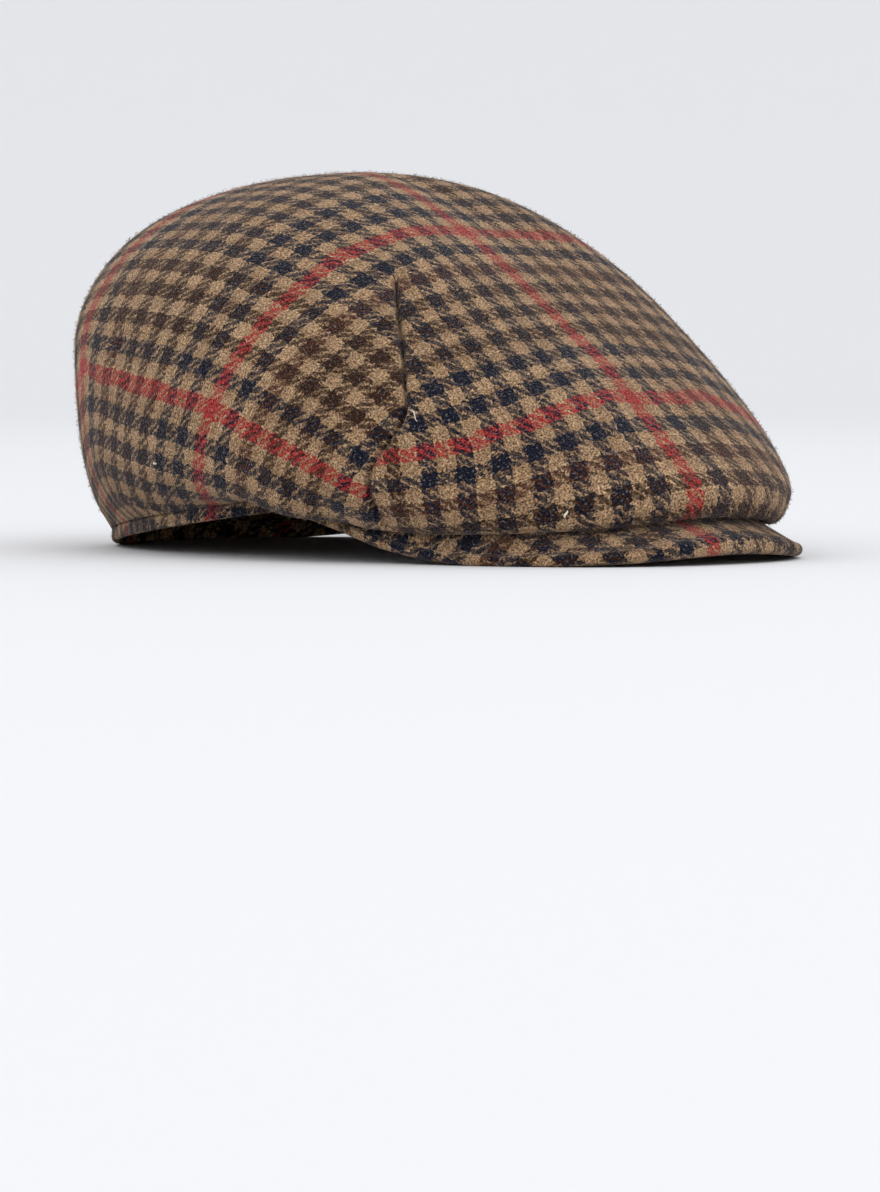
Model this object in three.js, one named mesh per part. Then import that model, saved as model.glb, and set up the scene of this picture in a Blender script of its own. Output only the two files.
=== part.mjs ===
// Flat cap in wool tweed. A one-piece crown is drawn forward and folded over a short
// stiffened peak, and a narrow turned hem closes its lower edge round the sides and back.
//
// Millimetres, +Z up, with the front of the cap toward -Y. The cap stands as it rests on
// a table: on the back of its hem and on the two front corners of its peak.

import * as THREE from 'three';

const { degToRad, lerp, clamp, smoothstep } = THREE.MathUtils;

// Head opening: an oval ring that climbs from the back of the cap to the front
const OPENING_HALF_LENGTH = 107;
const OPENING_HALF_WIDTH = 82.5;
const OPENING_CLIMB = degToRad(7);
const HEM_PRESSED = 2; // depth by which the back of the hem is pressed flat on the table

// Cloth, and the open line between two sewn pieces
const CROWN_WALL = 2.2;
const SEAM_GAP = 0.35;

// Hem: a folded strip under the crown's lower edge
const HEM_HEIGHT = 4;
const HEM_DEPTH = 2.6;
const HEM_ROUNDING = 0.5;
const HEM_STEPS = 54;
const HEM_END_CLEAR = 0.35; // degrees between the hem's end and the peak's

// Peak: a curved board covered in cloth, from the opening to a squared-oval front edge
const PEAK_END = 74; // degrees from the front at which the peak runs out at the opening
const PEAK_REACH = 127.5; // from the line between its two ends to the middle of its edge
const PEAK_SQUARENESS = 2.4;
const PEAK_THICKNESS = 4;
const PEAK_END_THICKNESS = 3.6;
const PEAK_EDGE_ROUNDING = 0.3; // share of the edge's thickness
const PEAK_STOP = 0.985; // share of the half width at which the solid ends
const PEAK_STEPS = 44;
const PEAK_ROWS = 7;
// Height of the lower front edge over the table, and how thick the edge's roll is there;
// turn is 0 at the middle, and at 90 the edge has climbed to the opening
const PEAK_EDGE_ROWS = [
  { turn: 0, up: 2.9, thick: 6.4 },
  { turn: 12, up: 2.2, thick: 5.8 },
  { turn: 25, up: 1.0, thick: 4.5 },
  { turn: 45, up: 0, thick: 3.7 },
  { turn: 60, up: 0.4, thick: PEAK_END_THICKNESS },
  { turn: 72, up: 4.0, thick: PEAK_END_THICKNESS },
  { turn: 82, up: 10.5, thick: PEAK_END_THICKNESS },
];

// Crown: sections from the opening, out to the widest ring, and in to the top
const FRONT_FOLD = 152; // from the opening's centre to the fold over the peak
const CROWN_HALF_WIDTH = 102.5;
const BACK_REACH = 109;
const TOP_BACK = 10; // the top of the dome lies this far behind the opening's centre
const TOP_UP = 125.5;
const BLEND_FROM = 64; // degrees at which the underside starts to leave the peak
// One row for each section, by degrees from the front: height of the widest ring, length
// of cloth tucked under the fold, and the slope and length with which it leaves the seam
const CROWN_ROWS = [
  { turn: 0, widestUp: 23, tuck: 40, slope: 6, lead: 5 },
  { turn: 30, widestUp: 20.5, tuck: 36, slope: 6, lead: 5 },
  { turn: 60, widestUp: 25.5, tuck: 20, slope: -8, lead: 10 },
  { turn: 68, widestUp: 30.5, tuck: 14, slope: -24, lead: 10 },
  { turn: 75, widestUp: 36, tuck: 7.5, slope: -6, lead: 9 },
  { turn: 90, widestUp: 47.5, tuck: 6, slope: 22, lead: 10 },
  { turn: 135, widestUp: 68, tuck: 6, slope: 58, lead: 12 },
  { turn: 180, widestUp: 70, tuck: 6, slope: 76, lead: 12 },
];
// How full the dome is above its widest ring at the front, sides and back: rise is the
// length of its upright start, reach the length of its level end
const FULLNESS = {
  front: { rise: 0.07, reach: 0.28 },
  side: { rise: 0.5, reach: 0.62 },
  back: { rise: 0.57, reach: 0.64 },
};
const ROLL_END = 0.45; // share of the fold's height that stands upright
const TUCK_ROWS = 4;
const ROLL_ROWS = 6;
const DOME_ROWS = 13;
const CROWN_STEP = 5; // degrees between plain sections

// Dart: a pinched seam on each side, from the fold up to half the dome's height
const DART_TURN = 52;
const DART_LOW_SHIFT = 6; // the seam bends this many degrees back below the widest ring
const DART_BEND = { above: 3, below: 4, beside: 20 }; // rows and degrees that share the bend
const DART_DEPTH = 1.1;
const DART_HALF_WIDTH = 2.8; // degrees
const DART_TOP = 0.54; // share of the dome
const DART_FOOT = -0.45; // the same, counted down into the fold
const DART_FADE = 0.2;
const DART_OFFSETS = [-5, -2.5, 0, 2.5, 5]; // degrees of the sections that draw the pinch

const TWEED = { color: 0x6b5744, roughness: 0.95, metalness: 0 };

/** Smooth value of one column of a table at an angle, level at both ends of the table. */
function readRow(rows, column, angle) {
  const at = clamp(angle, rows[0].turn, rows.at(-1).turn);
  let k = 0;
  while (k < rows.length - 2 && at > rows[k + 1].turn) k += 1;
  const slope = (i) => {
    if (i === 0 || i === rows.length - 1) return 0;
    const span = rows[i + 1].turn - rows[i - 1].turn;
    return (rows[i + 1][column] - rows[i - 1][column]) / span;
  };
  const span = rows[k + 1].turn - rows[k].turn;
  const t = (at - rows[k].turn) / span;
  const [low, high] = [rows[k][column], rows[k + 1][column]];
  const bend = (1 - t) * slope(k) - t * slope(k + 1) + (2 * t - 1) * ((high - low) / span);
  return lerp(low, high, t) + t * (1 - t) * span * bend;
}

/** Degrees from the front, 0 to 180, on either side of the cap. */
function turnFromFront(angle) {
  return Math.abs(THREE.MathUtils.euclideanModulo(angle + 180, 360) - 180);
}

/** Signed power, for squared ovals. */
function signedPower(value, power) {
  return Math.sign(value) * Math.abs(value) ** power;
}

/** Point of the opening's lower edge, raised by a height. */
function openingPoint(angle, raised = 0) {
  const a = degToRad(angle);
  const x = OPENING_HALF_WIDTH * Math.sin(a);
  const y = -OPENING_HALF_LENGTH * Math.cos(a);
  const climb = (OPENING_HALF_LENGTH - y) * Math.tan(OPENING_CLIMB);
  return new THREE.Vector3(x, y, Math.max(climb - HEM_PRESSED, 0) + raised);
}

/** Level direction straight out from the opening. */
function openingOutward(angle) {
  const a = degToRad(angle);
  const x = Math.sin(a) / OPENING_HALF_WIDTH;
  const y = -Math.cos(a) / OPENING_HALF_LENGTH;
  return new THREE.Vector3(x, y, 0).normalize();
}

/** Lower and upper point of the peak's outer edge that belong to an angle of the opening. */
function peakEdge(angle) {
  const turn = clamp((angle * 90) / PEAK_END, -90, 90);
  const a = degToRad(turn);
  const end = openingPoint(PEAK_END);
  const power = 2 / PEAK_SQUARENESS;
  const x = end.x * signedPower(Math.sin(a), power);
  const y = end.y - PEAK_REACH * signedPower(Math.max(Math.cos(a), 0), power);
  const rows = [...PEAK_EDGE_ROWS, { turn: 90, up: end.z, thick: PEAK_END_THICKNESS }];
  const up = Math.max(readRow(rows, 'up', Math.abs(turn)), 0);
  const thick = readRow(rows, 'thick', Math.abs(turn));
  return { low: new THREE.Vector3(x, y, up), top: new THREE.Vector3(x, y, up + thick), thick };
}

/** Point of the crown's widest ring. */
function widestPoint(angle) {
  const a = degToRad(angle);
  const reach = Math.cos(a) > 0 ? FRONT_FOLD : BACK_REACH;
  const up = readRow(CROWN_ROWS, 'widestUp', turnFromFront(angle));
  return new THREE.Vector3(CROWN_HALF_WIDTH * Math.sin(a), -reach * Math.cos(a), up);
}

/** Direction in which the cloth leaves the seam: along the peak, or out and up past it. */
function seamDirection(angle) {
  const turn = turnFromFront(angle);
  const signed = THREE.MathUtils.euclideanModulo(angle + 180, 360) - 180;
  const out = openingOutward(angle);
  out.setZ(Math.tan(degToRad(readRow(CROWN_ROWS, 'slope', turn)))).normalize();
  if (turn >= PEAK_END) return out;
  const along = peakEdge(signed).top.sub(openingPoint(angle, PEAK_THICKNESS)).normalize();
  return along.lerp(out, smoothstep(turn, BLEND_FROM, PEAK_END)).normalize();
}

/** Fullness of the dome at an angle. */
function fullness(angle) {
  const c = Math.cos(degToRad(angle));
  const far = c > 0 ? FULLNESS.front : FULLNESS.back;
  return {
    rise: lerp(FULLNESS.side.rise, far.rise, c * c),
    reach: lerp(FULLNESS.side.reach, far.reach, c * c),
  };
}

/** Outer section of the crown at an angle, from the seam to just short of the top. */
function crownSection(angle) {
  const seam = openingPoint(angle, HEM_HEIGHT + SEAM_GAP);
  const along = seamDirection(angle);
  const turn = turnFromFront(angle);
  const tuck = readRow(CROWN_ROWS, 'tuck', turn);
  const crease = seam.clone().addScaledVector(along, tuck);
  const widest = widestPoint(angle);
  const roll = new THREE.CubicBezierCurve3(
    crease,
    crease.clone().addScaledVector(along, readRow(CROWN_ROWS, 'lead', turn)),
    widest.clone().setZ(lerp(widest.z, crease.z, ROLL_END)),
    widest,
  );
  const top = new THREE.Vector3(0, TOP_BACK, TOP_UP);
  const full = fullness(angle);
  const dome = new THREE.CubicBezierCurve3(
    widest,
    widest.clone().setZ(lerp(widest.z, TOP_UP, full.rise)),
    top.clone().lerp(widest, full.reach).setZ(TOP_UP),
    top,
  );
  const points = [];
  for (let i = 0; i < TUCK_ROWS; i += 1) points.push(seam.clone().lerp(crease, i / TUCK_ROWS));
  for (let i = 0; i < ROLL_ROWS; i += 1) points.push(roll.getPoint(i / ROLL_ROWS));
  for (let i = 0; i < DOME_ROWS; i += 1) points.push(dome.getPoint(i / DOME_ROWS));
  return points;
}

/** Angles of the crown's sections: even steps, with more of them along the two darts. */
function crownAngles() {
  const angles = [];
  for (let angle = -180; angle < 180; angle += CROWN_STEP) {
    const clear = Math.abs(turnFromFront(angle) - DART_TURN);
    if (clear > DART_OFFSETS.at(-1) + CROWN_STEP / 4) angles.push(angle);
  }
  for (const side of [-1, 1]) {
    for (const offset of DART_OFFSETS) angles.push(side * (DART_TURN + offset));
  }
  return angles.sort((a, b) => a - b);
}

/** Angle of a section at one of its rows: sections by a dart follow its bent seam. */
function bentAngle(angle, row) {
  const widestRow = TUCK_ROWS + ROLL_ROWS;
  const near = 1 - Math.abs(turnFromFront(angle) - DART_TURN) / DART_BEND.beside;
  const low = 1 - smoothstep(row, widestRow, widestRow + DART_BEND.above);
  const high = smoothstep(row, TUCK_ROWS, widestRow - DART_BEND.below);
  return angle + Math.sign(angle) * DART_LOW_SHIFT * Math.max(near, 0) * low * high;
}

/** Depth of the dart's pinch at a section and row. */
function dartDepth(angle, row) {
  const off = (turnFromFront(angle) - DART_TURN) / DART_HALF_WIDTH;
  const share = (row - TUCK_ROWS - ROLL_ROWS) / DOME_ROWS;
  const upper = 1 - smoothstep(share, DART_TOP - DART_FADE, DART_TOP);
  const lower = smoothstep(share, DART_FOOT, DART_FOOT + DART_FADE);
  return DART_DEPTH * Math.exp(-off * off) * upper * lower;
}

/** Mesh from a list of vertices and a list of index triples. */
function meshFrom(name, vertices, triangles) {
  const geometry = new THREE.BufferGeometry();
  const positions = vertices.flatMap((v) => [v.x, v.y, v.z]);
  geometry.setAttribute('position', new THREE.Float32BufferAttribute(positions, 3));
  geometry.setIndex(triangles.flat());
  geometry.computeVertexNormals();
  const mesh = new THREE.Mesh(geometry, new THREE.MeshStandardMaterial(TWEED));
  mesh.name = name;
  return mesh;
}

/** Outward direction of a surface given as columns of rows, at one of its points. */
function gridNormal(columns, i, j, top) {
  const n = columns.length;
  const across = columns[(i + 1) % n][j].clone().sub(columns[(i + n - 1) % n][j]);
  const above = columns[i][j + 1] ?? top;
  const below = columns[i][Math.max(j - 1, 0)];
  return across.cross(above.clone().sub(below)).normalize();
}

/** The crown: a thin closed shell, open below, with its front doubled back to the seam. */
function makeCrown() {
  const rows = TUCK_ROWS + ROLL_ROWS + DOME_ROWS;
  const angles = crownAngles();
  const top = new THREE.Vector3(0, TOP_BACK, TOP_UP);
  const plain = angles.map((angle) => {
    const points = [];
    for (let j = 0; j < rows; j += 1) points.push(crownSection(bentAngle(angle, j))[j]);
    return points;
  });
  const outer = plain.map((column, i) => column.map((point, j) => {
    const inward = -dartDepth(angles[i], j);
    return point.clone().addScaledVector(gridNormal(plain, i, j, top), inward);
  }));
  const inner = outer.map((column, i) => column.map((point, j) => (
    point.clone().addScaledVector(gridNormal(plain, i, j, top), -CROWN_WALL)
  )));
  const innerTop = top.clone().setZ(TOP_UP - CROWN_WALL);

  const count = angles.length;
  const vertices = [...outer.flat(), ...inner.flat(), top, innerTop];
  const at = (side, i, j) => (side * count + (i % count)) * rows + j;
  const tops = [vertices.length - 2, vertices.length - 1];
  const triangles = [];
  for (let i = 0; i < count; i += 1) {
    for (let j = 0; j < rows - 1; j += 1) {
      const [a, b, c, d] = [at(0, i, j), at(0, i + 1, j), at(0, i + 1, j + 1), at(0, i, j + 1)];
      triangles.push([a, b, c], [a, c, d]);
      const [e, f, g, h] = [at(1, i, j), at(1, i + 1, j), at(1, i + 1, j + 1), at(1, i, j + 1)];
      triangles.push([e, g, f], [e, h, g]);
    }
    triangles.push([at(0, i, rows - 1), at(0, i + 1, rows - 1), tops[0]]);
    triangles.push([at(1, i + 1, rows - 1), at(1, i, rows - 1), tops[1]]);
    const [p, q, r, s] = [at(0, i, 0), at(0, i + 1, 0), at(1, i + 1, 0), at(1, i, 0)];
    triangles.push([p, r, q], [p, s, r]);
  }
  return meshFrom('crown', vertices, triangles);
}

/** Closed solid swept through equal section loops, with both ends capped. */
function sweepLoops(name, loops) {
  const size = loops[0].length;
  const last = (loops.length - 1) * size;
  const vertices = loops.flat();
  const triangles = [];
  for (let i = 0; i < loops.length - 1; i += 1) {
    for (let k = 0; k < size; k += 1) {
      const next = (k + 1) % size;
      const [a, b] = [i * size + k, i * size + next];
      const [c, d] = [a + size, b + size];
      triangles.push([a, b, d], [a, d, c]);
    }
  }
  for (let k = 1; k < size - 1; k += 1) {
    triangles.push([0, k + 1, k], [last, last + k, last + k + 1]);
  }
  return meshFrom(name, vertices, triangles);
}

/** The peak: loops run along its top to the front edge and back underneath. */
function makePeak() {
  const loops = [];
  for (let i = 0; i <= PEAK_STEPS; i += 1) {
    const angle = PEAK_END * lerp(-PEAK_STOP, PEAK_STOP, i / PEAK_STEPS);
    const backTop = openingPoint(angle, PEAK_THICKNESS);
    const backLow = openingPoint(angle);
    const { low: edgeLow, top: edgeTop, thick } = peakEdge(angle);
    const rounding = PEAK_EDGE_ROUNDING * thick;
    const loop = [];
    for (let k = 0; k < PEAK_ROWS; k += 1) {
      loop.push(backTop.clone().lerp(edgeTop, k / PEAK_ROWS));
    }
    const depth = backTop.distanceTo(edgeTop);
    const inset = Math.min(rounding / depth, 0.5 / PEAK_ROWS);
    loop.push(edgeTop.clone().lerp(backTop, inset));
    loop.push(edgeTop.clone().setZ(edgeTop.z - rounding));
    loop.push(edgeLow.clone().setZ(edgeLow.z + rounding));
    loop.push(edgeLow.clone().lerp(backLow, inset).setZ(edgeLow.z));
    for (let k = 1; k <= PEAK_ROWS; k += 1) {
      loop.push(edgeLow.clone().lerp(backLow, k / PEAK_ROWS));
    }
    loops.push(loop);
  }
  return sweepLoops('peak', loops);
}

/** The hem: a rounded strip under the crown, from one end of the peak round the back. */
function makeHem() {
  const loops = [];
  const start = PEAK_END * PEAK_STOP + HEM_END_CLEAR;
  for (let i = 0; i <= HEM_STEPS; i += 1) {
    const angle = lerp(start, 360 - start, i / HEM_STEPS);
    const foot = openingPoint(angle);
    const inward = openingOutward(angle).negate();
    const corner = (depth, up) => foot.clone().addScaledVector(inward, depth).setZ(foot.z + up);
    const r = HEM_ROUNDING;
    loops.push([
      corner(0, r),
      corner(r, 0),
      corner(HEM_DEPTH - r, 0),
      corner(HEM_DEPTH, r),
      corner(HEM_DEPTH, HEM_HEIGHT - r),
      corner(HEM_DEPTH - r, HEM_HEIGHT),
      corner(r, HEM_HEIGHT),
      corner(0, HEM_HEIGHT - r),
    ]);
  }
  return sweepLoops('hem_band', loops);
}

const cap = new THREE.Group();
cap.add(makeCrown(), makePeak(), makeHem());
// The origin is the bottom centre of the cap's box
const middle = new THREE.Box3().setFromObject(cap).getCenter(new THREE.Vector3());
cap.position.set(0, -middle.y, 0);

export default cap;
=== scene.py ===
"""Looks of a flat cap in checked wool tweed, at rest on a pale studio floor.

The crown, peak and hem are drawn again from the cap's driving sizes with finer rows. The crown's cloth is
laid out flat, so that its check follows the cut, and each piece gets a woven finish and a loose nap.
"""
import logging
import math
from dataclasses import dataclass, field, replace
from enum import Enum
from typing import NamedTuple, Optional

import bpy
import numpy as np
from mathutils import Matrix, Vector


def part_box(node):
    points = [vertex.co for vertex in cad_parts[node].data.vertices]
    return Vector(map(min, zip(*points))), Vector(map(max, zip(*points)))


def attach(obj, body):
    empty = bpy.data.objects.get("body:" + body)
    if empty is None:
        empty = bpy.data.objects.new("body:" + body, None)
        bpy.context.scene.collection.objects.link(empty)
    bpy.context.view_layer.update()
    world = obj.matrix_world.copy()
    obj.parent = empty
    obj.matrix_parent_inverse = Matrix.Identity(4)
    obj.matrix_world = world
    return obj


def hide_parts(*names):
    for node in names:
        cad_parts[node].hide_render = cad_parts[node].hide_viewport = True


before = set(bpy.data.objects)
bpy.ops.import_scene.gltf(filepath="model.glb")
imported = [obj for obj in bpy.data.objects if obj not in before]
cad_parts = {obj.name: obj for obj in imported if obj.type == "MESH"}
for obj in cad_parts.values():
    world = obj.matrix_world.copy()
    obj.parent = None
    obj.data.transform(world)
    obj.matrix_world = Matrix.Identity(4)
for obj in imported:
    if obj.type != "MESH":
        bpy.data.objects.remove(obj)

log = logging.getLogger("flat_cap")

Array = np.ndarray
Tree = bpy.types.NodeTree
Socket = bpy.types.NodeSocket
Material = bpy.types.Material
Piece = bpy.types.Object

MM = 0.001  # one millimetre in metres; all sizes below are in millimetres and degrees
SQUARE_CM_IN_METRE = 1e4  # square centimetres in a square metre
SEAM, CREASE, WIDEST, TOP = 0, 1, 2, 3  # levels of the crown
BODY = "root"
CLOTH = "cloth"  # the cloth's own coordinates on each piece, in millimetres
NAP = "nap"  # marks the faces that carry loose fibres


class CrownRow(NamedTuple):
    """One section of the crown, by degrees from the front."""

    turn: float
    widest_up: float
    tuck: float
    slope: float
    lead: float


class EdgeRow(NamedTuple):
    """Height and thickness of the peak's front edge; at a turn of 90 it has climbed to the opening."""

    turn: float
    up: float
    thick: float


class ClothMark(NamedTuple):
    """A thread of the check seen at a place on the crown, counted in check pairs from a red crossing."""

    turn: float
    level: float
    across: Optional[float]
    along: Optional[float]


class SoftFold(NamedTuple):
    """A low fold in the crown, between two places on it. A lift below zero is a crease."""

    turn_from: float
    level_from: float
    turn_to: float
    level_to: float
    width: float
    lift: float


class LooseEnd(NamedTuple):
    """A loose bit of pale wool on the crown: its place, its size and its heading from level."""

    turn: float
    level: float
    length: float
    thickness: float
    heading: float


class Wave(NamedTuple):
    """A slow swell of the crown's cloth: times round it, times up it, its phase and its height."""

    around: float
    up: float
    phase: float
    height: float


CROWN_ROWS = (
    CrownRow(turn=0, widest_up=23, tuck=40, slope=6, lead=5),
    CrownRow(turn=30, widest_up=20.5, tuck=36, slope=6, lead=5),
    CrownRow(turn=60, widest_up=25.5, tuck=20, slope=-8, lead=10),
    CrownRow(turn=68, widest_up=30.5, tuck=14, slope=-24, lead=10),
    CrownRow(turn=75, widest_up=36, tuck=7.5, slope=-6, lead=9),
    CrownRow(turn=90, widest_up=47.5, tuck=6, slope=22, lead=10),
    CrownRow(turn=135, widest_up=68, tuck=6, slope=58, lead=12),
    CrownRow(turn=180, widest_up=70, tuck=6, slope=76, lead=12),
)

PEAK_EDGE_ROWS = (
    EdgeRow(turn=0, up=2.9, thick=6.4),
    EdgeRow(turn=12, up=2.2, thick=5.8),
    EdgeRow(turn=25, up=1.0, thick=4.5),
    EdgeRow(turn=45, up=0.0, thick=3.7),
    EdgeRow(turn=60, up=0.4, thick=3.6),
    EdgeRow(turn=72, up=4.0, thick=3.6),
    EdgeRow(turn=82, up=10.5, thick=3.6),
)

# Where the check falls on the side behind the dart, and on the front
SIDE_MARKS = (
    ClothMark(turn=73, level=2.22, across=-10, along=1),
    ClothMark(turn=66.5, level=2.37, across=-8, along=1),
    ClothMark(turn=58, level=2.48, across=-6, along=1),
    ClothMark(turn=52, level=2.53, across=-5, along=1),
    ClothMark(turn=68, level=2.12, across=-11, along=3),
    ClothMark(turn=60.5, level=2.10, across=-11, along=5),
    ClothMark(turn=56, level=2.22, across=-9, along=5),
    ClothMark(turn=75, level=1.77, across=-13, along=2),
    ClothMark(turn=68, level=1.69, across=-13, along=4),
    ClothMark(turn=61, level=1.57, across=-13, along=6),
    ClothMark(turn=64.5, level=2.53, across=None, along=0),
    ClothMark(turn=80.5, level=2.06, across=-12, along=None),
    ClothMark(turn=82.5, level=2.15, across=-11, along=-1),
    ClothMark(turn=88.5, level=2.15, across=-11, along=-3),
    ClothMark(turn=101, level=2.13, across=-11, along=-6),
    ClothMark(turn=105, level=2.02, across=-12, along=None),
    ClothMark(turn=117, level=2.02, across=-12, along=-8),
    ClothMark(turn=116.5, level=2.27, across=None, along=-8),
    ClothMark(turn=97.5, level=2.04, across=-12, along=-5),
    ClothMark(turn=88.5, level=1.85, across=-13, along=-2),
    ClothMark(turn=97.5, level=1.83, across=-13, along=-4),
    ClothMark(turn=105, level=1.84, across=-13, along=-6),
    ClothMark(turn=91, level=1.53, across=-14, along=-2),
    ClothMark(turn=100, level=1.57, across=-14, along=-4),
    ClothMark(turn=109, level=1.62, across=-14, along=-6),
    ClothMark(turn=102, level=1.33, across=-15, along=-4),
    ClothMark(turn=113, level=1.41, across=-15, along=-6),
    ClothMark(turn=88, level=0.0, across=-16, along=0),
    ClothMark(turn=93.5, level=0.0, across=-16, along=-1),
    ClothMark(turn=102, level=0.63, across=-16, along=-3),
    ClothMark(turn=110.5, level=1.11, across=-16, along=-5),
)
FRONT_MARKS = (
    ClothMark(turn=49.5, level=2.08, across=None, along=8),
    ClothMark(turn=42.5, level=2.13, across=-6, along=8),
    ClothMark(turn=34, level=2.22, across=-4, along=8),
    ClothMark(turn=21.5, level=2.30, across=-2, along=8),
    ClothMark(turn=14.5, level=2.33, across=-1, along=8),
    ClothMark(turn=6.75, level=2.41, across=0, along=None),
    ClothMark(turn=8.5, level=2.28, across=0, along=None),
    ClothMark(turn=7.5, level=2.09, across=0, along=None),
)

# Small wrinkles where the dart's foot pulls on the front
SOFT_FOLDS = (
    SoftFold(turn_from=46.5, level_from=2.06, turn_to=41, level_to=2.035, width=1.2, lift=-1.0),
    SoftFold(turn_from=43.5, level_from=2.015, turn_to=38.2, level_to=1.91, width=1.2, lift=-0.9),
    SoftFold(turn_from=36.8, level_from=1.8, turn_to=32.8, level_to=1.66, width=1.2, lift=-0.6),
    SoftFold(turn_from=47, level_from=2.03, turn_to=38, level_to=1.97, width=2.6, lift=0.7),
    SoftFold(turn_from=55, level_from=2.0, turn_to=50, level_to=2.04, width=2.0, lift=-0.5),
)

# Pale thread end by the dart, and two bits of lint
LOOSE_ENDS = (
    LooseEnd(turn=50.5, level=2.19, length=5.0, thickness=0.4, heading=-35),
    LooseEnd(turn=92, level=1.52, length=1.6, thickness=0.9, heading=20),
    LooseEnd(turn=30, level=1.7, length=2.6, thickness=0.9, heading=80),
)

WAVES = (
    Wave(around=3, up=1.0, phase=0.4, height=0.35),
    Wave(around=5, up=2.0, phase=2.1, height=0.25),
    Wave(around=8, up=3.0, phase=4.0, height=0.18),
    Wave(around=13, up=4.0, phase=1.2, height=0.12),
)


def smooth(value: Array, low: float, high: float) -> Array:
    """Smooth step from 0 at low to 1 at high."""
    t = np.clip((value - low) / (high - low), 0.0, 1.0)
    return t * t * (3.0 - 2.0 * t)


def unit(vectors: Array) -> Array:
    """Vectors at length one."""
    return vectors / np.maximum(np.linalg.norm(vectors, axis=-1, keepdims=True), 1e-9)


def blend(low: Array, high: Array, share: Array) -> Array:
    """Points a share of the way from low to high."""
    return low + (high - low) * np.asarray(share)[..., None]


def at_height(points: Array, up: Array) -> Array:
    """Copies of points at another height."""
    return np.concatenate([points[..., :2], np.asarray(up)[..., None]], axis=-1)


def bezier(ends: tuple[Array, Array, Array, Array], t: Array) -> Array:
    """Points of cubic curves.

    Args:
        ends: the four control points of each curve.
        t: place on each curve, from 0 to 1.

    Returns:
        One point for each curve.
    """
    t = np.asarray(t)[..., None]
    near, lean, reach, far = ends
    s = 1.0 - t
    return s**3 * near + 3 * t * s**2 * lean + 3 * t**2 * s * reach + t**3 * far


def read_row(rows: tuple, column: str, at: Array) -> Array:
    """Smooth value of one column of a table, level at both ends of the table.

    Args:
        rows: the table, in order of its turn column.
        column: name of the column to read.
        at: turns in degrees.

    Returns:
        The value at each turn.
    """
    turns = np.array([row.turn for row in rows], float)
    values = np.array([getattr(row, column) for row in rows], float)
    at = np.clip(at, turns[0], turns[-1])
    k = np.clip(np.searchsorted(turns, at, side="left") - 1, 0, len(turns) - 2)
    slopes = np.zeros(len(turns))
    slopes[1:-1] = (values[2:] - values[:-2]) / (turns[2:] - turns[:-2])
    span = turns[k + 1] - turns[k]
    t = (at - turns[k]) / span
    rise = (values[k + 1] - values[k]) / span
    bend = (1 - t) * slopes[k] - t * slopes[k + 1] + (2 * t - 1) * rise
    return values[k] * (1 - t) + values[k + 1] * t + t * (1 - t) * span * bend


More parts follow.
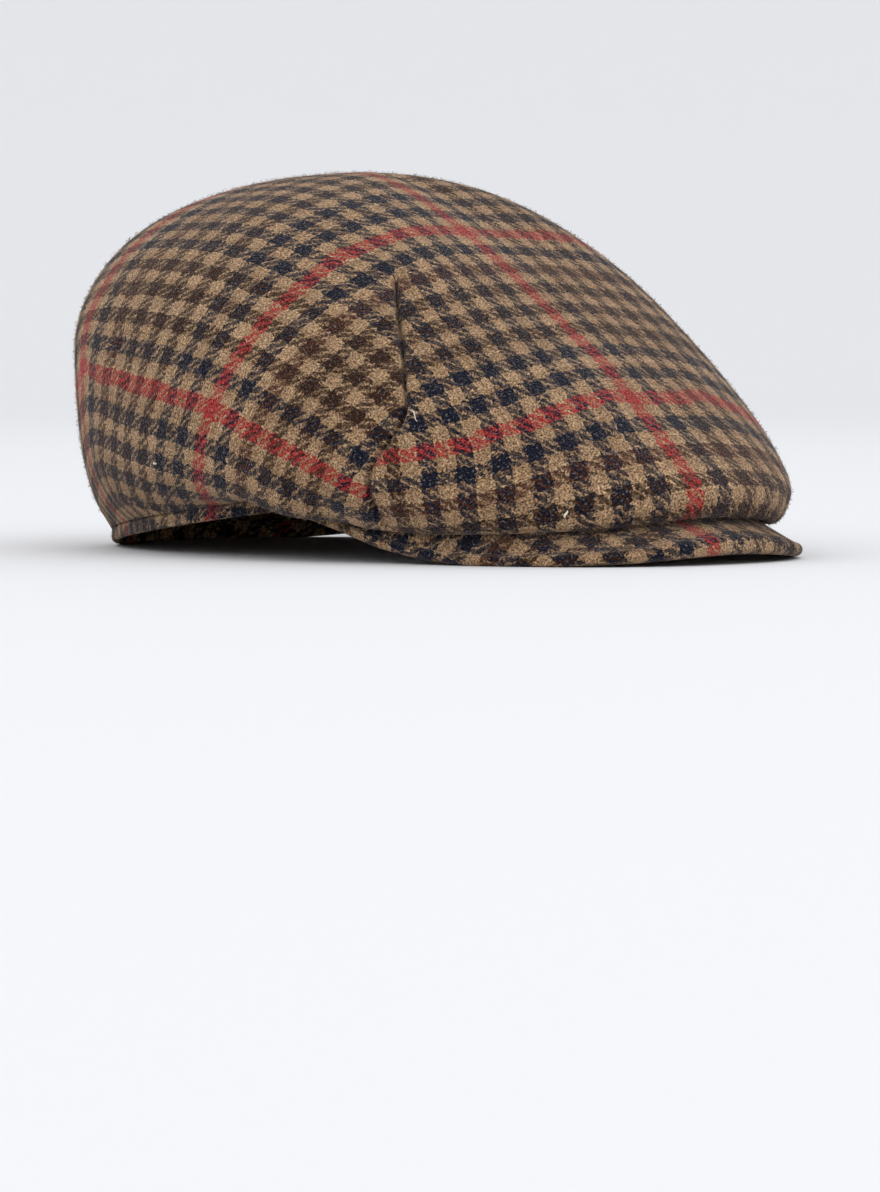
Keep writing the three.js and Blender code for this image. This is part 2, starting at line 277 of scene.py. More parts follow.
@dataclass(frozen=True)
class CapForm:
    """The cap's plain form, centred on the head opening, with its front toward -Y.

    A place on the crown is an angle from the front, below zero on the cap's right, and a level: SEAM at the
    opening, CREASE under the fold, WIDEST at the widest ring and TOP at the top.
    """

    opening_half_length: float = 107.0
    opening_half_width: float = 82.5
    opening_climb: float = 7.0
    hem_pressed: float = 2.0
    hem_height: float = 4.0
    seam_gap: float = 0.35
    peak_end: float = 74.0
    peak_reach: float = 127.5
    peak_squareness: float = 2.4
    peak_thickness: float = 4.0
    front_fold: float = 152.0
    crown_half_width: float = 102.5
    back_reach: float = 109.0
    top_back: float = 10.0
    top_up: float = 125.5
    blend_from: float = 64.0
    roll_end: float = 0.45
    front_rise: float = 0.07
    side_rise: float = 0.5
    back_rise: float = 0.57
    front_level: float = 0.28
    side_level: float = 0.62
    back_level: float = 0.64
    dart_turn: float = 52.0
    dart_shift: float = 6.0
    dart_beside: float = 20.0
    dart_bend_above: float = 3 / 13
    dart_bend_below: float = 1 / 3
    dart_top: float = 2.54  # level at which each dart runs out

    @property
    def top(self) -> Array:
        """Top of the dome."""
        return np.array([0.0, self.top_back, self.top_up])

    @property
    def shift(self) -> Array:
        """Move from the opening's centre to the part's own origin, read from the peak's place."""
        front = self.peak_edge(np.array(0.0))[1]
        return np.array([0.0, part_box("peak")[0][1] / MM - front, 0.0])

    def opening(self, angle: Array, raised: float = 0.0) -> Array:
        """Points of the opening's lower edge.

        Args:
            angle: degrees from the front.
            raised: height above the edge.

        Returns:
            One point for each angle.
        """
        a = np.radians(angle)
        y = -self.opening_half_length * np.cos(a)
        climb = (self.opening_half_length - y) * math.tan(math.radians(self.opening_climb))
        up = np.maximum(climb - self.hem_pressed, 0.0) + raised
        return np.stack([self.opening_half_width * np.sin(a), y, up], axis=-1)

    def outward(self, angle: Array) -> Array:
        """Level directions straight out from the opening.

        Args:
            angle: degrees from the front.

        Returns:
            One direction of length one for each angle.
        """
        a = np.radians(angle)
        x, y = np.sin(a) / self.opening_half_width, -np.cos(a) / self.opening_half_length
        return unit(np.stack([x, y, 0.0 * a], axis=-1))

    def peak_edge(self, angle: Array, share: float = 0.0) -> Array:
        """Points of the peak's outer edge that belong to angles of the opening.

        Args:
            angle: degrees from the front.
            share: 0 for the foot of the edge, 1 for its top.

        Returns:
            One point for each angle.
        """
        turn = np.clip(np.asarray(angle) * 90 / self.peak_end, -90, 90)
        a = np.radians(turn)
        end = self.opening(np.array(self.peak_end))
        power = 2 / self.peak_squareness
        x = end[0] * np.sign(a) * np.abs(np.sin(a)) ** power
        y = end[1] - self.peak_reach * np.maximum(np.cos(a), 0.0) ** power
        rows = PEAK_EDGE_ROWS + (EdgeRow(turn=90, up=float(end[2]), thick=PEAK_EDGE_ROWS[-1].thick),)
        up = np.maximum(read_row(rows, "up", np.abs(turn)), 0.0)
        return np.stack([x, y, up + share * read_row(rows, "thick", np.abs(turn))], axis=-1)

    def seam_direction(self, angle: Array) -> Array:
        """Directions in which the cloth leaves the seam: along the peak, or out and up past it.

        Args:
            angle: degrees from the front.

        Returns:
            One direction of length one for each angle.
        """
        turn = np.abs(angle)
        out = self.outward(angle)
        out = unit(at_height(out, np.tan(np.radians(read_row(CROWN_ROWS, "slope", turn)))))
        along = unit(self.peak_edge(angle, 1.0) - self.opening(angle, self.peak_thickness))
        mixed = unit(blend(along, out, smooth(turn, self.blend_from, self.peak_end)))
        return np.where((turn >= self.peak_end)[..., None], out, mixed)

    def section(self, angle: Array, level: Array) -> Array:
        """Points of the crown's plain sections.

        Args:
            angle: degrees from the front, from -180 to 180.
            level: level of each point, of the same shape.

        Returns:
            One point for each pair.
        """
        turn = np.abs(angle)
        seam = self.opening(angle, self.hem_height + self.seam_gap)
        along = self.seam_direction(angle)
        crease = seam + along * read_row(CROWN_ROWS, "tuck", turn)[..., None]
        a = np.radians(angle)
        ahead = np.cos(a) > 0
        reach = np.where(ahead, self.front_fold, self.back_reach)
        widest_up = read_row(CROWN_ROWS, "widest_up", turn)
        widest = np.stack([self.crown_half_width * np.sin(a), -reach * np.cos(a), widest_up], axis=-1)
        lead = crease + along * read_row(CROWN_ROWS, "lead", turn)[..., None]
        upright = at_height(widest, widest[..., 2] + (crease[..., 2] - widest[..., 2]) * self.roll_end)
        share = np.cos(a) ** 2
        end_rise = np.where(ahead, self.front_rise, self.back_rise)
        end_level = np.where(ahead, self.front_level, self.back_level)
        rise = self.side_rise + (end_rise - self.side_rise) * share
        flat = self.side_level + (end_level - self.side_level) * share
        steep = at_height(widest, widest[..., 2] + (self.top_up - widest[..., 2]) * rise)
        top = np.broadcast_to(self.top, widest.shape)
        even = at_height(blend(top, widest, flat), np.full(turn.shape, self.top_up))
        tuck = blend(seam, crease, np.clip(level, 0, 1))
        roll = bezier((crease, lead, upright, widest), np.clip(level - CREASE, 0, 1))
        dome = bezier((widest, steep, even, top), np.clip(level - WIDEST, 0, 1))
        lower = np.where((level > CREASE)[..., None], roll, tuck)
        return np.where((level > WIDEST)[..., None], dome, lower)

    def crown(self, angle: Array, level: Array) -> Array:
        """Points of the crown, whose sections by a dart follow its bent seam.

        Args:
            angle: degrees from the front, below zero on the right.
            level: levels, of a shape that fits the angles.

        Returns:
            One point for each pair.
        """
        angle, level = np.broadcast_arrays(np.asarray(angle, float), np.asarray(level, float))
        near = np.maximum(1 - np.abs(np.abs(angle) - self.dart_turn) / self.dart_beside, 0)
        low = 1 - smooth(level - WIDEST, 0, self.dart_bend_above)
        high = smooth(level - CREASE, 0, self.dart_bend_below)
        return self.section(angle + np.sign(angle) * self.dart_shift * near * low * high, level)


@dataclass
class ClothLay:
    """The crown's one piece of cloth laid out flat, cut at the darts and at a short seam behind.

    The flat lay keeps the cloth's lengths as well as it can, and holds the check to its marks.
    """

    form: CapForm
    pair: float = 10.3  # one dark and one tan group of threads
    middle: float = 1.2  # check pairs between a red stripe and the cap's middle line
    back_seam_top: float = 2.45  # level at which the seam behind runs out
    front_columns: int = 15
    back_columns: int = 34
    tuck_rows: int = 4
    roll_rows: int = 10
    dome_rows: int = 22
    rounds: int = 140
    mark_pull: float = 5.0
    pin_pull: float = 1e4
    start_back: float = 45.0

    def __post_init__(self) -> None:
        """Draws the half cap's grid and settles it flat."""
        self.levels = np.concatenate([
            np.linspace(SEAM, CREASE, self.tuck_rows, endpoint=False),
            np.linspace(CREASE, WIDEST, self.roll_rows, endpoint=False),
            np.linspace(WIDEST, TOP, self.dome_rows + 1),
        ])
        dart = self.form.dart_turn
        front = np.linspace(0, dart, self.front_columns + 1)
        self.turns = (front, np.linspace(dart, 180, self.back_columns + 1))
        self._draw_grid()
        self._settle()

    def _draw_grid(self) -> None:
        """Numbers the grid's points: the two patches share the top, and the dart's line above its end."""
        rows = len(self.levels)
        front = np.arange(len(self.turns[0]) * rows).reshape(-1, rows)
        back = front.size + np.arange(len(self.turns[1]) * rows).reshape(-1, rows)
        sewn = self.levels >= self.form.dart_top
        back[0, sewn] = front[-1, sewn]
        pole = front[0, -1]
        front[:, -1] = pole
        back[:, -1] = pole
        turn = np.concatenate([np.repeat(t, rows) for t in self.turns])
        level = np.tile(self.levels, len(turn) // rows)
        used, inverse = np.unique(np.concatenate([front.ravel(), back.ravel()]), return_inverse=True)
        self.grids = (inverse[:front.size].reshape(front.shape), inverse[front.size:].reshape(back.shape))
        self.pole = self.grids[0][0, -1]
        self.points = self.form.crown(-turn[used], level[used])
        triangles = []
        for grid in self.grids:
            for i in range(len(grid) - 1):
                for j in range(rows - 1):
                    a, b, c, d = grid[i, j], grid[i + 1, j], grid[i + 1, j + 1], grid[i, j + 1]
                    if c == d:
                        triangles.append((a, b, c))
                    elif (i + j) % 2:
                        triangles.extend([(a, b, c), (a, c, d)])
                    else:
                        triangles.extend([(a, b, d), (b, c, d)])
        self.triangles = np.array(triangles)

    def _start(self) -> Array:
        """First lay: each section's length from the top, in its own direction.

        Returns:
            A flat place for each grid point.
        """
        flat = np.zeros((len(self.points), 2))
        for grid in self.grids:
            for column in grid:
                line = self.points[column]
                steps = np.linalg.norm(np.diff(line[::-1], axis=0), axis=1)
                reach = np.concatenate([[0.0], np.cumsum(steps)])[::-1]
                toward = line[len(line) // 2] - self.points[self.pole]
                turn = math.atan2(toward[0], -toward[1])
                across, along = reach * math.sin(turn), reach * math.cos(turn) - self.start_back
                flat[column] = np.stack([across, along], axis=1)
        return flat

    def _cell(self, patch: int, turn: float, level: float) -> tuple[list[int], Array]:
        """Grid points round a place, and their shares of it.

        Args:
            patch: 0 in front of the dart, 1 behind it.
            turn: degrees from the front.
            level: the place's level.

        Returns:
            The numbers of four grid points, and a share for each.
        """
        i, f = self._step(self.turns[patch], np.array(turn))
        j, g = self._step(self.levels, np.array(level))
        grid = self.grids[patch]
        points = [grid[i, j], grid[i + 1, j], grid[i, j + 1], grid[i + 1, j + 1]]
        return points, np.array([(1 - f) * (1 - g), f * (1 - g), (1 - f) * g, f * g])

    @staticmethod
    def _step(stops: Array, at: Array) -> tuple[Array, Array]:
        """Index of the step that holds each value, and the share of the step before it."""
        i = np.clip(np.searchsorted(stops, at, side="right") - 1, 0, len(stops) - 2)
        return i, np.clip((at - stops[i]) / (stops[i + 1] - stops[i]), 0, 1)

    def _settle(self) -> None:
        """Relaxes the flat lay: each triangle asks for its own shape, turned, and the marks pull."""
        corners = self.points[self.triangles]
        first, second = corners[:, 1] - corners[:, 0], corners[:, 2] - corners[:, 0]
        normal = np.cross(first, second)
        area = np.linalg.norm(normal, axis=1) / 2
        x_axis = unit(first)
        y_axis = np.cross(unit(normal), x_axis)
        edges = np.zeros((len(area), 2, 2))
        edges[:, 0, 0] = np.linalg.norm(first, axis=1)
        edges[:, 0, 1] = (second * x_axis).sum(1)
        edges[:, 1, 1] = (second * y_axis).sum(1)
        inverse = np.linalg.inv(edges)
        slope = np.concatenate([-inverse.sum(1, keepdims=True), inverse], axis=1)
        count = len(self.points)
        stiff = np.zeros((count, count))
        for i in range(3):
            for j in range(3):
                share = area * (slope[:, i] * slope[:, j]).sum(1)
                np.add.at(stiff, (self.triangles[:, i], self.triangles[:, j]), share)
        systems, wanted = [stiff.copy(), stiff.copy()], [np.zeros(count), np.zeros(count)]
        for patch, marks in enumerate((FRONT_MARKS, SIDE_MARKS)):
            for mark in marks:
                points, shares = self._cell(patch, mark.turn, mark.level)
                for axis, value in enumerate((mark.across, mark.along)):
                    if value is not None:
                        systems[axis][np.ix_(points, points)] += self.mark_pull * np.outer(shares, shares)
                        wanted[axis][points] += self.mark_pull * shares * value * self.pair
        sewn = self.levels >= self.back_seam_top
        line = np.unique(np.concatenate([self.grids[0][0], self.grids[1][-1][sewn]]))
        systems[0][line, line] += self.pin_pull
        wanted[0][line] += self.pin_pull * self.middle * self.pair
        solvers = [np.linalg.inv(system) for system in systems]
        flat = self._start()
        for _ in range(self.rounds):
            stretch = np.einsum("tkc,tkd->tcd", flat[self.triangles], slope)
            left, _, right = np.linalg.svd(stretch)
            left[np.linalg.det(left @ right) < 0, :, 1] *= -1
            turned = left @ right
            for axis in (0, 1):
                pull = wanted[axis].copy()
                for k in range(3):
                    ask = area * (turned[:, axis] * slope[:, k]).sum(1)
                    np.add.at(pull, self.triangles[:, k], ask)
                flat[:, axis] = solvers[axis] @ pull
        self.flat = flat
        spread = flat[self.triangles]
        one, two = spread[:, 1] - spread[:, 0], spread[:, 2] - spread[:, 0]
        self.area = float(np.abs(one[:, 0] * two[:, 1] - one[:, 1] * two[:, 0]).sum())

    def size(self) -> tuple[float, float]:
        """Width and length of the flat cloth."""
        half = np.abs(self.flat[:, 0] - self.middle * self.pair).max()
        return 2 * float(half), float(np.ptp(self.flat[:, 1]))

    def at(self, angle: Array, level: Array, behind: bool) -> Array:
        """Cloth coordinates of places on the crown.

        Args:
            angle: degrees from the front, below zero on the right.
            level: levels, of a shape that fits the angles.
            behind: whether the places belong to the patch behind the darts.

        Returns:
            Across and along, in millimetres.
        """
        angle, level = np.broadcast_arrays(np.asarray(angle, float), np.asarray(level, float))
        patch = 1 if behind else 0
        i, f = self._step(self.turns[patch], np.abs(angle))
        j, g = self._step(self.levels, level)
        lay = self.flat[self.grids[patch]]
        near = blend(lay[i, j], lay[i + 1, j], f)
        far = blend(lay[i, j + 1], lay[i + 1, j + 1], f)
        found = blend(near, far, g)
        centre = self.middle * self.pair
        across = np.where(angle > 0, 2 * centre - found[..., 0], found[..., 0])
        return np.stack([across, found[..., 1]], axis=-1)


def linear(hex_colour: str) -> tuple[float, float, float, float]:
    """Linear colour of an sRGB hex value.

    Args:
        hex_colour: the colour, such as #8e6e50.

    Returns:
        Its linear red, green and blue, and 1 for its cover.
    """
    channels = [int(hex_colour[k:k + 2], 16) / 255 for k in (1, 3, 5)]
    curve = [c / 12.92 if c <= 0.04045 else ((c + 0.055) / 1.055) ** 2.4 for c in channels]
    return (*curve, 1.0)


def add(tree: Tree, kind: str, inputs: Optional[dict] = None, **settings: object) -> bpy.types.Node:
    """Adds a node with its settings and links.

    Args:
        tree: node tree to add to.
        kind: the node's type.
        inputs: by name or number of its socket, a value or a socket to link from.
        settings: the node's own settings.

    Returns:
        The new node.
    """
    node = tree.nodes.new(kind)
    for name, value in settings.items():
        setattr(node, name, value)
    for key, value in (inputs or {}).items():
        if isinstance(value, Socket):
            tree.links.new(value, node.inputs[key])
        else:
            node.inputs[key].default_value = value
    return node


class Wool(Enum):
    """Where the wool shows: woven in the cloth, with or without its red cross stripe, or loose on it."""

    WOVEN = "wool_tweed_woven"
    CLEAR = "wool_tweed_clear_of_cross_stripe"
    LOOSE = "wool_tweed_nap"


@dataclass(frozen=True)
class TweedFinish:
    """Milled woollen tweed, a two-and-two twill in groups of dark and tan yarn with red stripes.

    Woollen yarn is soft, hairy and spun from mixed fibres, and milling felts it a little. So the eye gets a
    check with ragged, half mixed edges, a speckled face and a dull, pale bloom where it turns away.
    """

    pair: float = 10.3
    pair_threads: int = 12  # a little coarser than the real yarn, so that the twill shows
    dark_cover: float = 0.2  # by how much the dark yarn spreads over the tan where they cross
    tan: str = "#8e6e50"
    pale: str = "#bc9b77"
    navy: str = "#181a28"
    brown: str = "#382318"
    rust: str = "#4a2a1e"
    red: str = "#a63633"
    cross_stripe: str = "#a63633"
    # Sheen tint and colour of pale flecks; loose fibres are mixed toward it, partly as painted sheen
    bloom: str = "#cdc6c0"
    across_repeat: int = 12
    along_repeat: int = 8
    twill: int = 4  # threads in one repeat of the twill
    roughness: float = 0.95
    specular: float = 0.12
    sheen: float = 0.5
    sheen_roughness: float = 0.12
    loose_paleness_and_painted_sheen: float = 0.3  # by how much loose fibres are mixed toward the sheen colour: partly their own paler tone, partly painted sheen
    bump_depth: float = 0.28
    bump_strength: float = 0.8
    hairiness: float = 0.9  # height of the specks against that of a thread
    fray: float = 0.42  # how far a yarn's edge strays
    fray_size: float = 0.7
    ragged: float = 0.9  # how far a crossing's width varies, in threads
    ragged_size: float = 0.8
    tuft: float = 1.1  # how far small tufts of threads are pulled aside
    tuft_size: float = 2.2
    drift: float = 0.9  # how far whole threads wander
    drift_size: float = 7.0
    felt_size: float = 1.7
    felted: float = 0.45  # how crisp the weave stays where it is felted most
    grain_detail: float = 2.0
    speck_size: float = 0.6
    speck_tone: tuple[float, float] = (0.25, 1.75)
    fleck_size: float = 0.9
    fleck_share: tuple[float, float] = (0.0, 0.22)
    fleck_range: tuple[float, float] = (0.6, 0.74)
    cloud_size: float = 22.0
    cloud_tone: tuple[float, float] = (0.93, 1.07)

    @property
    def thread(self) -> float:
        """Width of one thread."""
        return self.pair / self.pair_threads

    def material(self, wool: Wool) -> Material:
        """The finish as a material.

        Args:
            wool: whether it is woven cloth or loose fibres.

        Returns:
            The new material, which reads the piece's cloth coordinates.
        """
        made = bpy.data.materials.new(wool.value)
        made.use_nodes = True
        tree = made.node_tree
        tree.nodes.clear()
        place = add(tree, "ShaderNodeAttribute", attribute_name=CLOTH).outputs["Vector"]
        colour, height = self._weave(tree, place)
        # Loose fibres are mixed toward the sheen colour: partly their own paler tone, partly painted sheen
        # on the fuzz
        if wool is Wool.LOOSE:
            colour = add(tree, "ShaderNodeMix", {
                "Factor": self.loose_paleness_and_painted_sheen, 6: colour, 7: linear(self.bloom)}, data_type="RGBA").outputs[2]
        shader = add(tree, "ShaderNodeBsdfPrincipled", {
            "Base Color": colour,
            "Roughness": self.roughness,
            "Specular IOR Level": self.specular,
            "Sheen Weight": self.sheen,
            "Sheen Roughness": self.sheen_roughness,
            "Sheen Tint": linear(self.bloom),
        })
        if wool is not Wool.LOOSE:
            bump = add(tree, "ShaderNodeBump", {
                "Strength": self.bump_strength, "Distance": self.bump_depth * MM, "Height": height})
            tree.links.new(bump.outputs["Normal"], shader.inputs["Normal"])
        add(tree, "ShaderNodeOutputMaterial", {"Surface": shader.outputs["BSDF"]})
        return made

    def _grain(self, tree: Tree, place: Socket, size: float, spread: tuple[float, float],
               between: tuple[float, float] = (0.3, 0.7)) -> Socket:
        """Noise of a grain size.

        Args:
            tree: the material's node tree.
            place: the cloth's coordinates.
            size: grain in millimetres.
            spread: values at the noise's low and high end.
            between: the noise's own range that is spread.

        Returns:
            The socket that gives the value.
        """
        noise = add(tree, "ShaderNodeTexNoise", {
            "Vector": place, "Scale": 1 / size, "Detail": self.grain_detail}, noise_dimensions="2D")
        return add(tree, "ShaderNodeMapRange", {
            "Value": noise.outputs["Fac"], "From Min": between[0], "From Max": between[1],
            "To Min": spread[0], "To Max": spread[1]}).outputs[0]

    def _strayed(self, tree: Tree, place: Socket) -> Socket:
        """Cloth coordinates moved a little, so that threads wander and their edges fray.

        Args:
            tree: the material's node tree.
            place: the cloth's coordinates.

        Returns:
            The socket that gives the moved coordinates.
        """
        strays = ((self.drift_size, self.drift), (self.tuft_size, self.tuft), (self.fray_size, self.fray))
        for size, reach in strays:
            noise = add(tree, "ShaderNodeTexNoise", {
                "Vector": place, "Scale": 1 / size, "Detail": self.grain_detail}, noise_dimensions="2D")
            around = add(tree, "ShaderNodeVectorMath", {0: noise.outputs["Color"], 1: (0.5, 0.5, 0.5)},
                         operation="SUBTRACT")
            move = add(tree, "ShaderNodeVectorMath", {0: around.outputs[0], "Scale": 2 * reach},
                       operation="SCALE")
            moved = add(tree, "ShaderNodeVectorMath", {0: place, 1: move.outputs[0]}, operation="ADD")
            place = moved.outputs[0]
        return place

    def _weave(self, tree: Tree, place: Socket) -> tuple[Socket, Socket]:
        """Colour and height of the weave.

        Args:
            tree: the material's node tree.
            place: the cloth's own coordinates.

        Returns:
            The sockets that give the colour and the height.
        """
        strayed = self._strayed(tree, place)
        threads = add(tree, "ShaderNodeVectorMath", {0: strayed, "Scale": 1 / self.thread},
                      operation="SCALE")
        parts = add(tree, "ShaderNodeSeparateXYZ", {0: threads.outputs[0]})
        across, along = parts.outputs[0], parts.outputs[1]
        ends = add(tree, "ShaderNodeMath", {0: across}, operation="FLOOR").outputs[0]
        picks = add(tree, "ShaderNodeMath", {0: along}, operation="FLOOR").outputs[0]
        step = add(tree, "ShaderNodeMath", {0: across, 1: along}, operation="SUBTRACT").outputs[0]
        phase = add(tree, "ShaderNodeMath", {0: step, 1: float(self.twill)},
                    operation="FLOORED_MODULO").outputs[0]
        # Dark groups in order from a red one: number of the first group of each colour
        across_order = ((0, self.red), (1, self.navy), (2, self.brown), (5, self.navy))
        along_order = ((0, self.cross_stripe), (1, self.navy), (2, self.rust), (3, self.brown),
                       (6, self.navy))
        warp, dark_warp = self._yarn(tree, ends, self.across_repeat, across_order)
        weft, dark_weft = self._yarn(tree, picks, self.along_repeat, along_order)
        darker = add(tree, "ShaderNodeMath", {0: dark_warp, 1: dark_weft}, operation="SUBTRACT").outputs[0]
        even = self.twill / 2
        ragged = self._grain(tree, place, self.ragged_size, (even - self.ragged, even + self.ragged))
        share = add(tree, "ShaderNodeMath", {0: darker, 1: self.twill * self.dark_cover, 2: ragged},
                    operation="MULTIPLY_ADD").outputs[0]
        over = add(tree, "ShaderNodeMath", {0: phase, 1: share}, operation="LESS_THAN").outputs[0]
        # Felting mixes the two yarns at each crossing, more in some spots than in others
        crisp = self._grain(tree, place, self.felt_size, (self.felted, 1.0))
        apart = add(tree, "ShaderNodeMath", {0: over, 1: 0.5}, operation="SUBTRACT").outputs[0]
        shown = add(tree, "ShaderNodeMath", {0: apart, 1: crisp, 2: 0.5},
                    operation="MULTIPLY_ADD").outputs[0]
        woven = add(tree, "ShaderNodeMix", {"Factor": shown, 6: weft, 7: warp}, data_type="RGBA").outputs[2]
        fleck = self._grain(tree, place, self.fleck_size, self.fleck_share, self.fleck_range)
        flecked = add(tree, "ShaderNodeMix", {"Factor": fleck, 6: woven, 7: linear(self.bloom)},
                      data_type="RGBA").outputs[2]
        speck = self._grain(tree, place, self.speck_size, self.speck_tone)
        cloud = self._grain(tree, place, self.cloud_size, self.cloud_tone)
        tone = add(tree, "ShaderNodeMath", {0: speck, 1: cloud}, operation="MULTIPLY").outputs[0]
        colour = add(tree, "ShaderNodeVectorMath", {0: flecked, "Scale": tone},
                     operation="SCALE").outputs[0]
        round_across = self._roundness(tree, across)
        round_along = self._roundness(tree, along)
        height = add(tree, "ShaderNodeMix", {"Factor": over, 2: round_along, 3: round_across}).outputs[0]
        hairy = add(tree, "ShaderNodeMath", {0: speck, 1: self.hairiness, 2: height},
                    operation="MULTIPLY_ADD").outputs[0]
        return colour, hairy

    def _yarn(self, tree: Tree, thread: Socket, repeat: int,
              order: tuple[tuple[int, str], ...]) -> tuple[Socket, Socket]:
        """Colour of each numbered thread.

        Args:
            tree: the material's node tree.
            thread: the thread's number.
            repeat: check pairs from one red stripe to the next.
            order: the first dark group of each colour in a repeat, and the colour.

        Returns:
            The sockets that give the yarn's colour, and 1 for a dark yarn.
        """
        half = self.pair_threads / 2
        shifted = add(tree, "ShaderNodeMath", {0: thread, 1: half / 2}, operation="ADD").outputs[0]
        within = add(tree, "ShaderNodeMath", {0: shifted, 1: float(self.pair_threads)},
                     operation="FLOORED_MODULO").outputs[0]
        dark = add(tree, "ShaderNodeMath", {0: within, 1: half - 0.5}, operation="LESS_THAN").outputs[0]
        pairs = add(tree, "ShaderNodeMath", {0: shifted, 1: float(self.pair_threads * repeat)},
                    operation="FLOORED_MODULO").outputs[0]
        middle = add(tree, "ShaderNodeMath", {0: pairs, 1: 0.5}, operation="ADD").outputs[0]
        share = add(tree, "ShaderNodeMath", {0: middle, 1: float(self.pair_threads * repeat)},
                    operation="DIVIDE").outputs[0]
        ramp = add(tree, "ShaderNodeValToRGB", {"Fac": share})
        ramp.color_ramp.interpolation = "CONSTANT"
        stops = ramp.color_ramp.elements
        while len(stops) < len(order):
            stops.new(1.0)
        for stop, (group, colour) in zip(stops, order):
            stop.position = group / repeat
            stop.color = linear(colour)
        own = add(tree, "ShaderNodeTexWhiteNoise", {"W": thread}, noise_dimensions="1D").outputs["Value"]
        camel = add(tree, "ShaderNodeMix", {"Factor": own, 6: linear(self.tan), 7: linear(self.pale)},
                    data_type="RGBA").outputs[2]
        yarn = add(tree, "ShaderNodeMix", {"Factor": dark, 6: camel, 7: ramp.outputs["Color"]},
                   data_type="RGBA").outputs[2]
        return yarn, dark

    def _roundness(self, tree: Tree, place: Socket) -> Socket:
        """Height of a round thread over its own width.

        Args:
            tree: the material's node tree.
            place: places counted in threads.

        Returns:
            The socket that gives the height.
        """
        share = add(tree, "ShaderNodeMath", {0: place}, operation="FRACT").outputs[0]
        swing = add(tree, "ShaderNodeMath", {0: share, 1: math.pi}, operation="MULTIPLY").outputs[0]
        return add(tree, "ShaderNodeMath", {0: swing}, operation="SINE").outputs[0]


@dataclass(frozen=True)
class LintFinish:
    """Undyed wool: a dull cream that stands out against the check."""

    colour: str = "#e6dfd0"
    roughness: float = 0.95
    specular: float = 0.12

    def material(self) -> Material:
        """The loose wool as a material.

        Returns:
            The new material.
        """
        made = bpy.data.materials.new("undyed_wool")
        made.use_nodes = True
        shader = made.node_tree.nodes["Principled BSDF"]
        shader.inputs["Base Color"].default_value = linear(self.colour)
        shader.inputs["Roughness"].default_value = self.roughness
        shader.inputs["Specular IOR Level"].default_value = self.specular
        return made


@dataclass(frozen=True)
class StudioFinish:
    """Matt white studio paper: an even, pale ground with no gloss and a faint tooth."""

    colour: str = "#e9e9ea"
    roughness: float = 0.95
    specular: float = 0.1
    tooth: float = 0.4
    tooth_depth: float = 0.05
    tooth_strength: float = 0.1

    def material(self) -> Material:
        """The paper as a material.

        Returns:
            The new material.
        """
        made = bpy.data.materials.new("matt_studio_paper")
        made.use_nodes = True
        tree = made.node_tree
        shader = tree.nodes["Principled BSDF"]
        shader.inputs["Base Color"].default_value = linear(self.colour)
        shader.inputs["Roughness"].default_value = self.roughness
        shader.inputs["Specular IOR Level"].default_value = self.specular
        place = add(tree, "ShaderNodeTexCoord").outputs["Object"]
        noise = add(tree, "ShaderNodeTexNoise", {"Vector": place, "Scale": 1 / (self.tooth * MM)})
        bump = add(tree, "ShaderNodeBump", {
            "Strength": self.tooth_strength,
            "Distance": self.tooth_depth * MM,
            "Height": noise.outputs["Fac"],
        })
        tree.links.new(bump.outputs["Normal"], shader.inputs["Normal"])
        return made


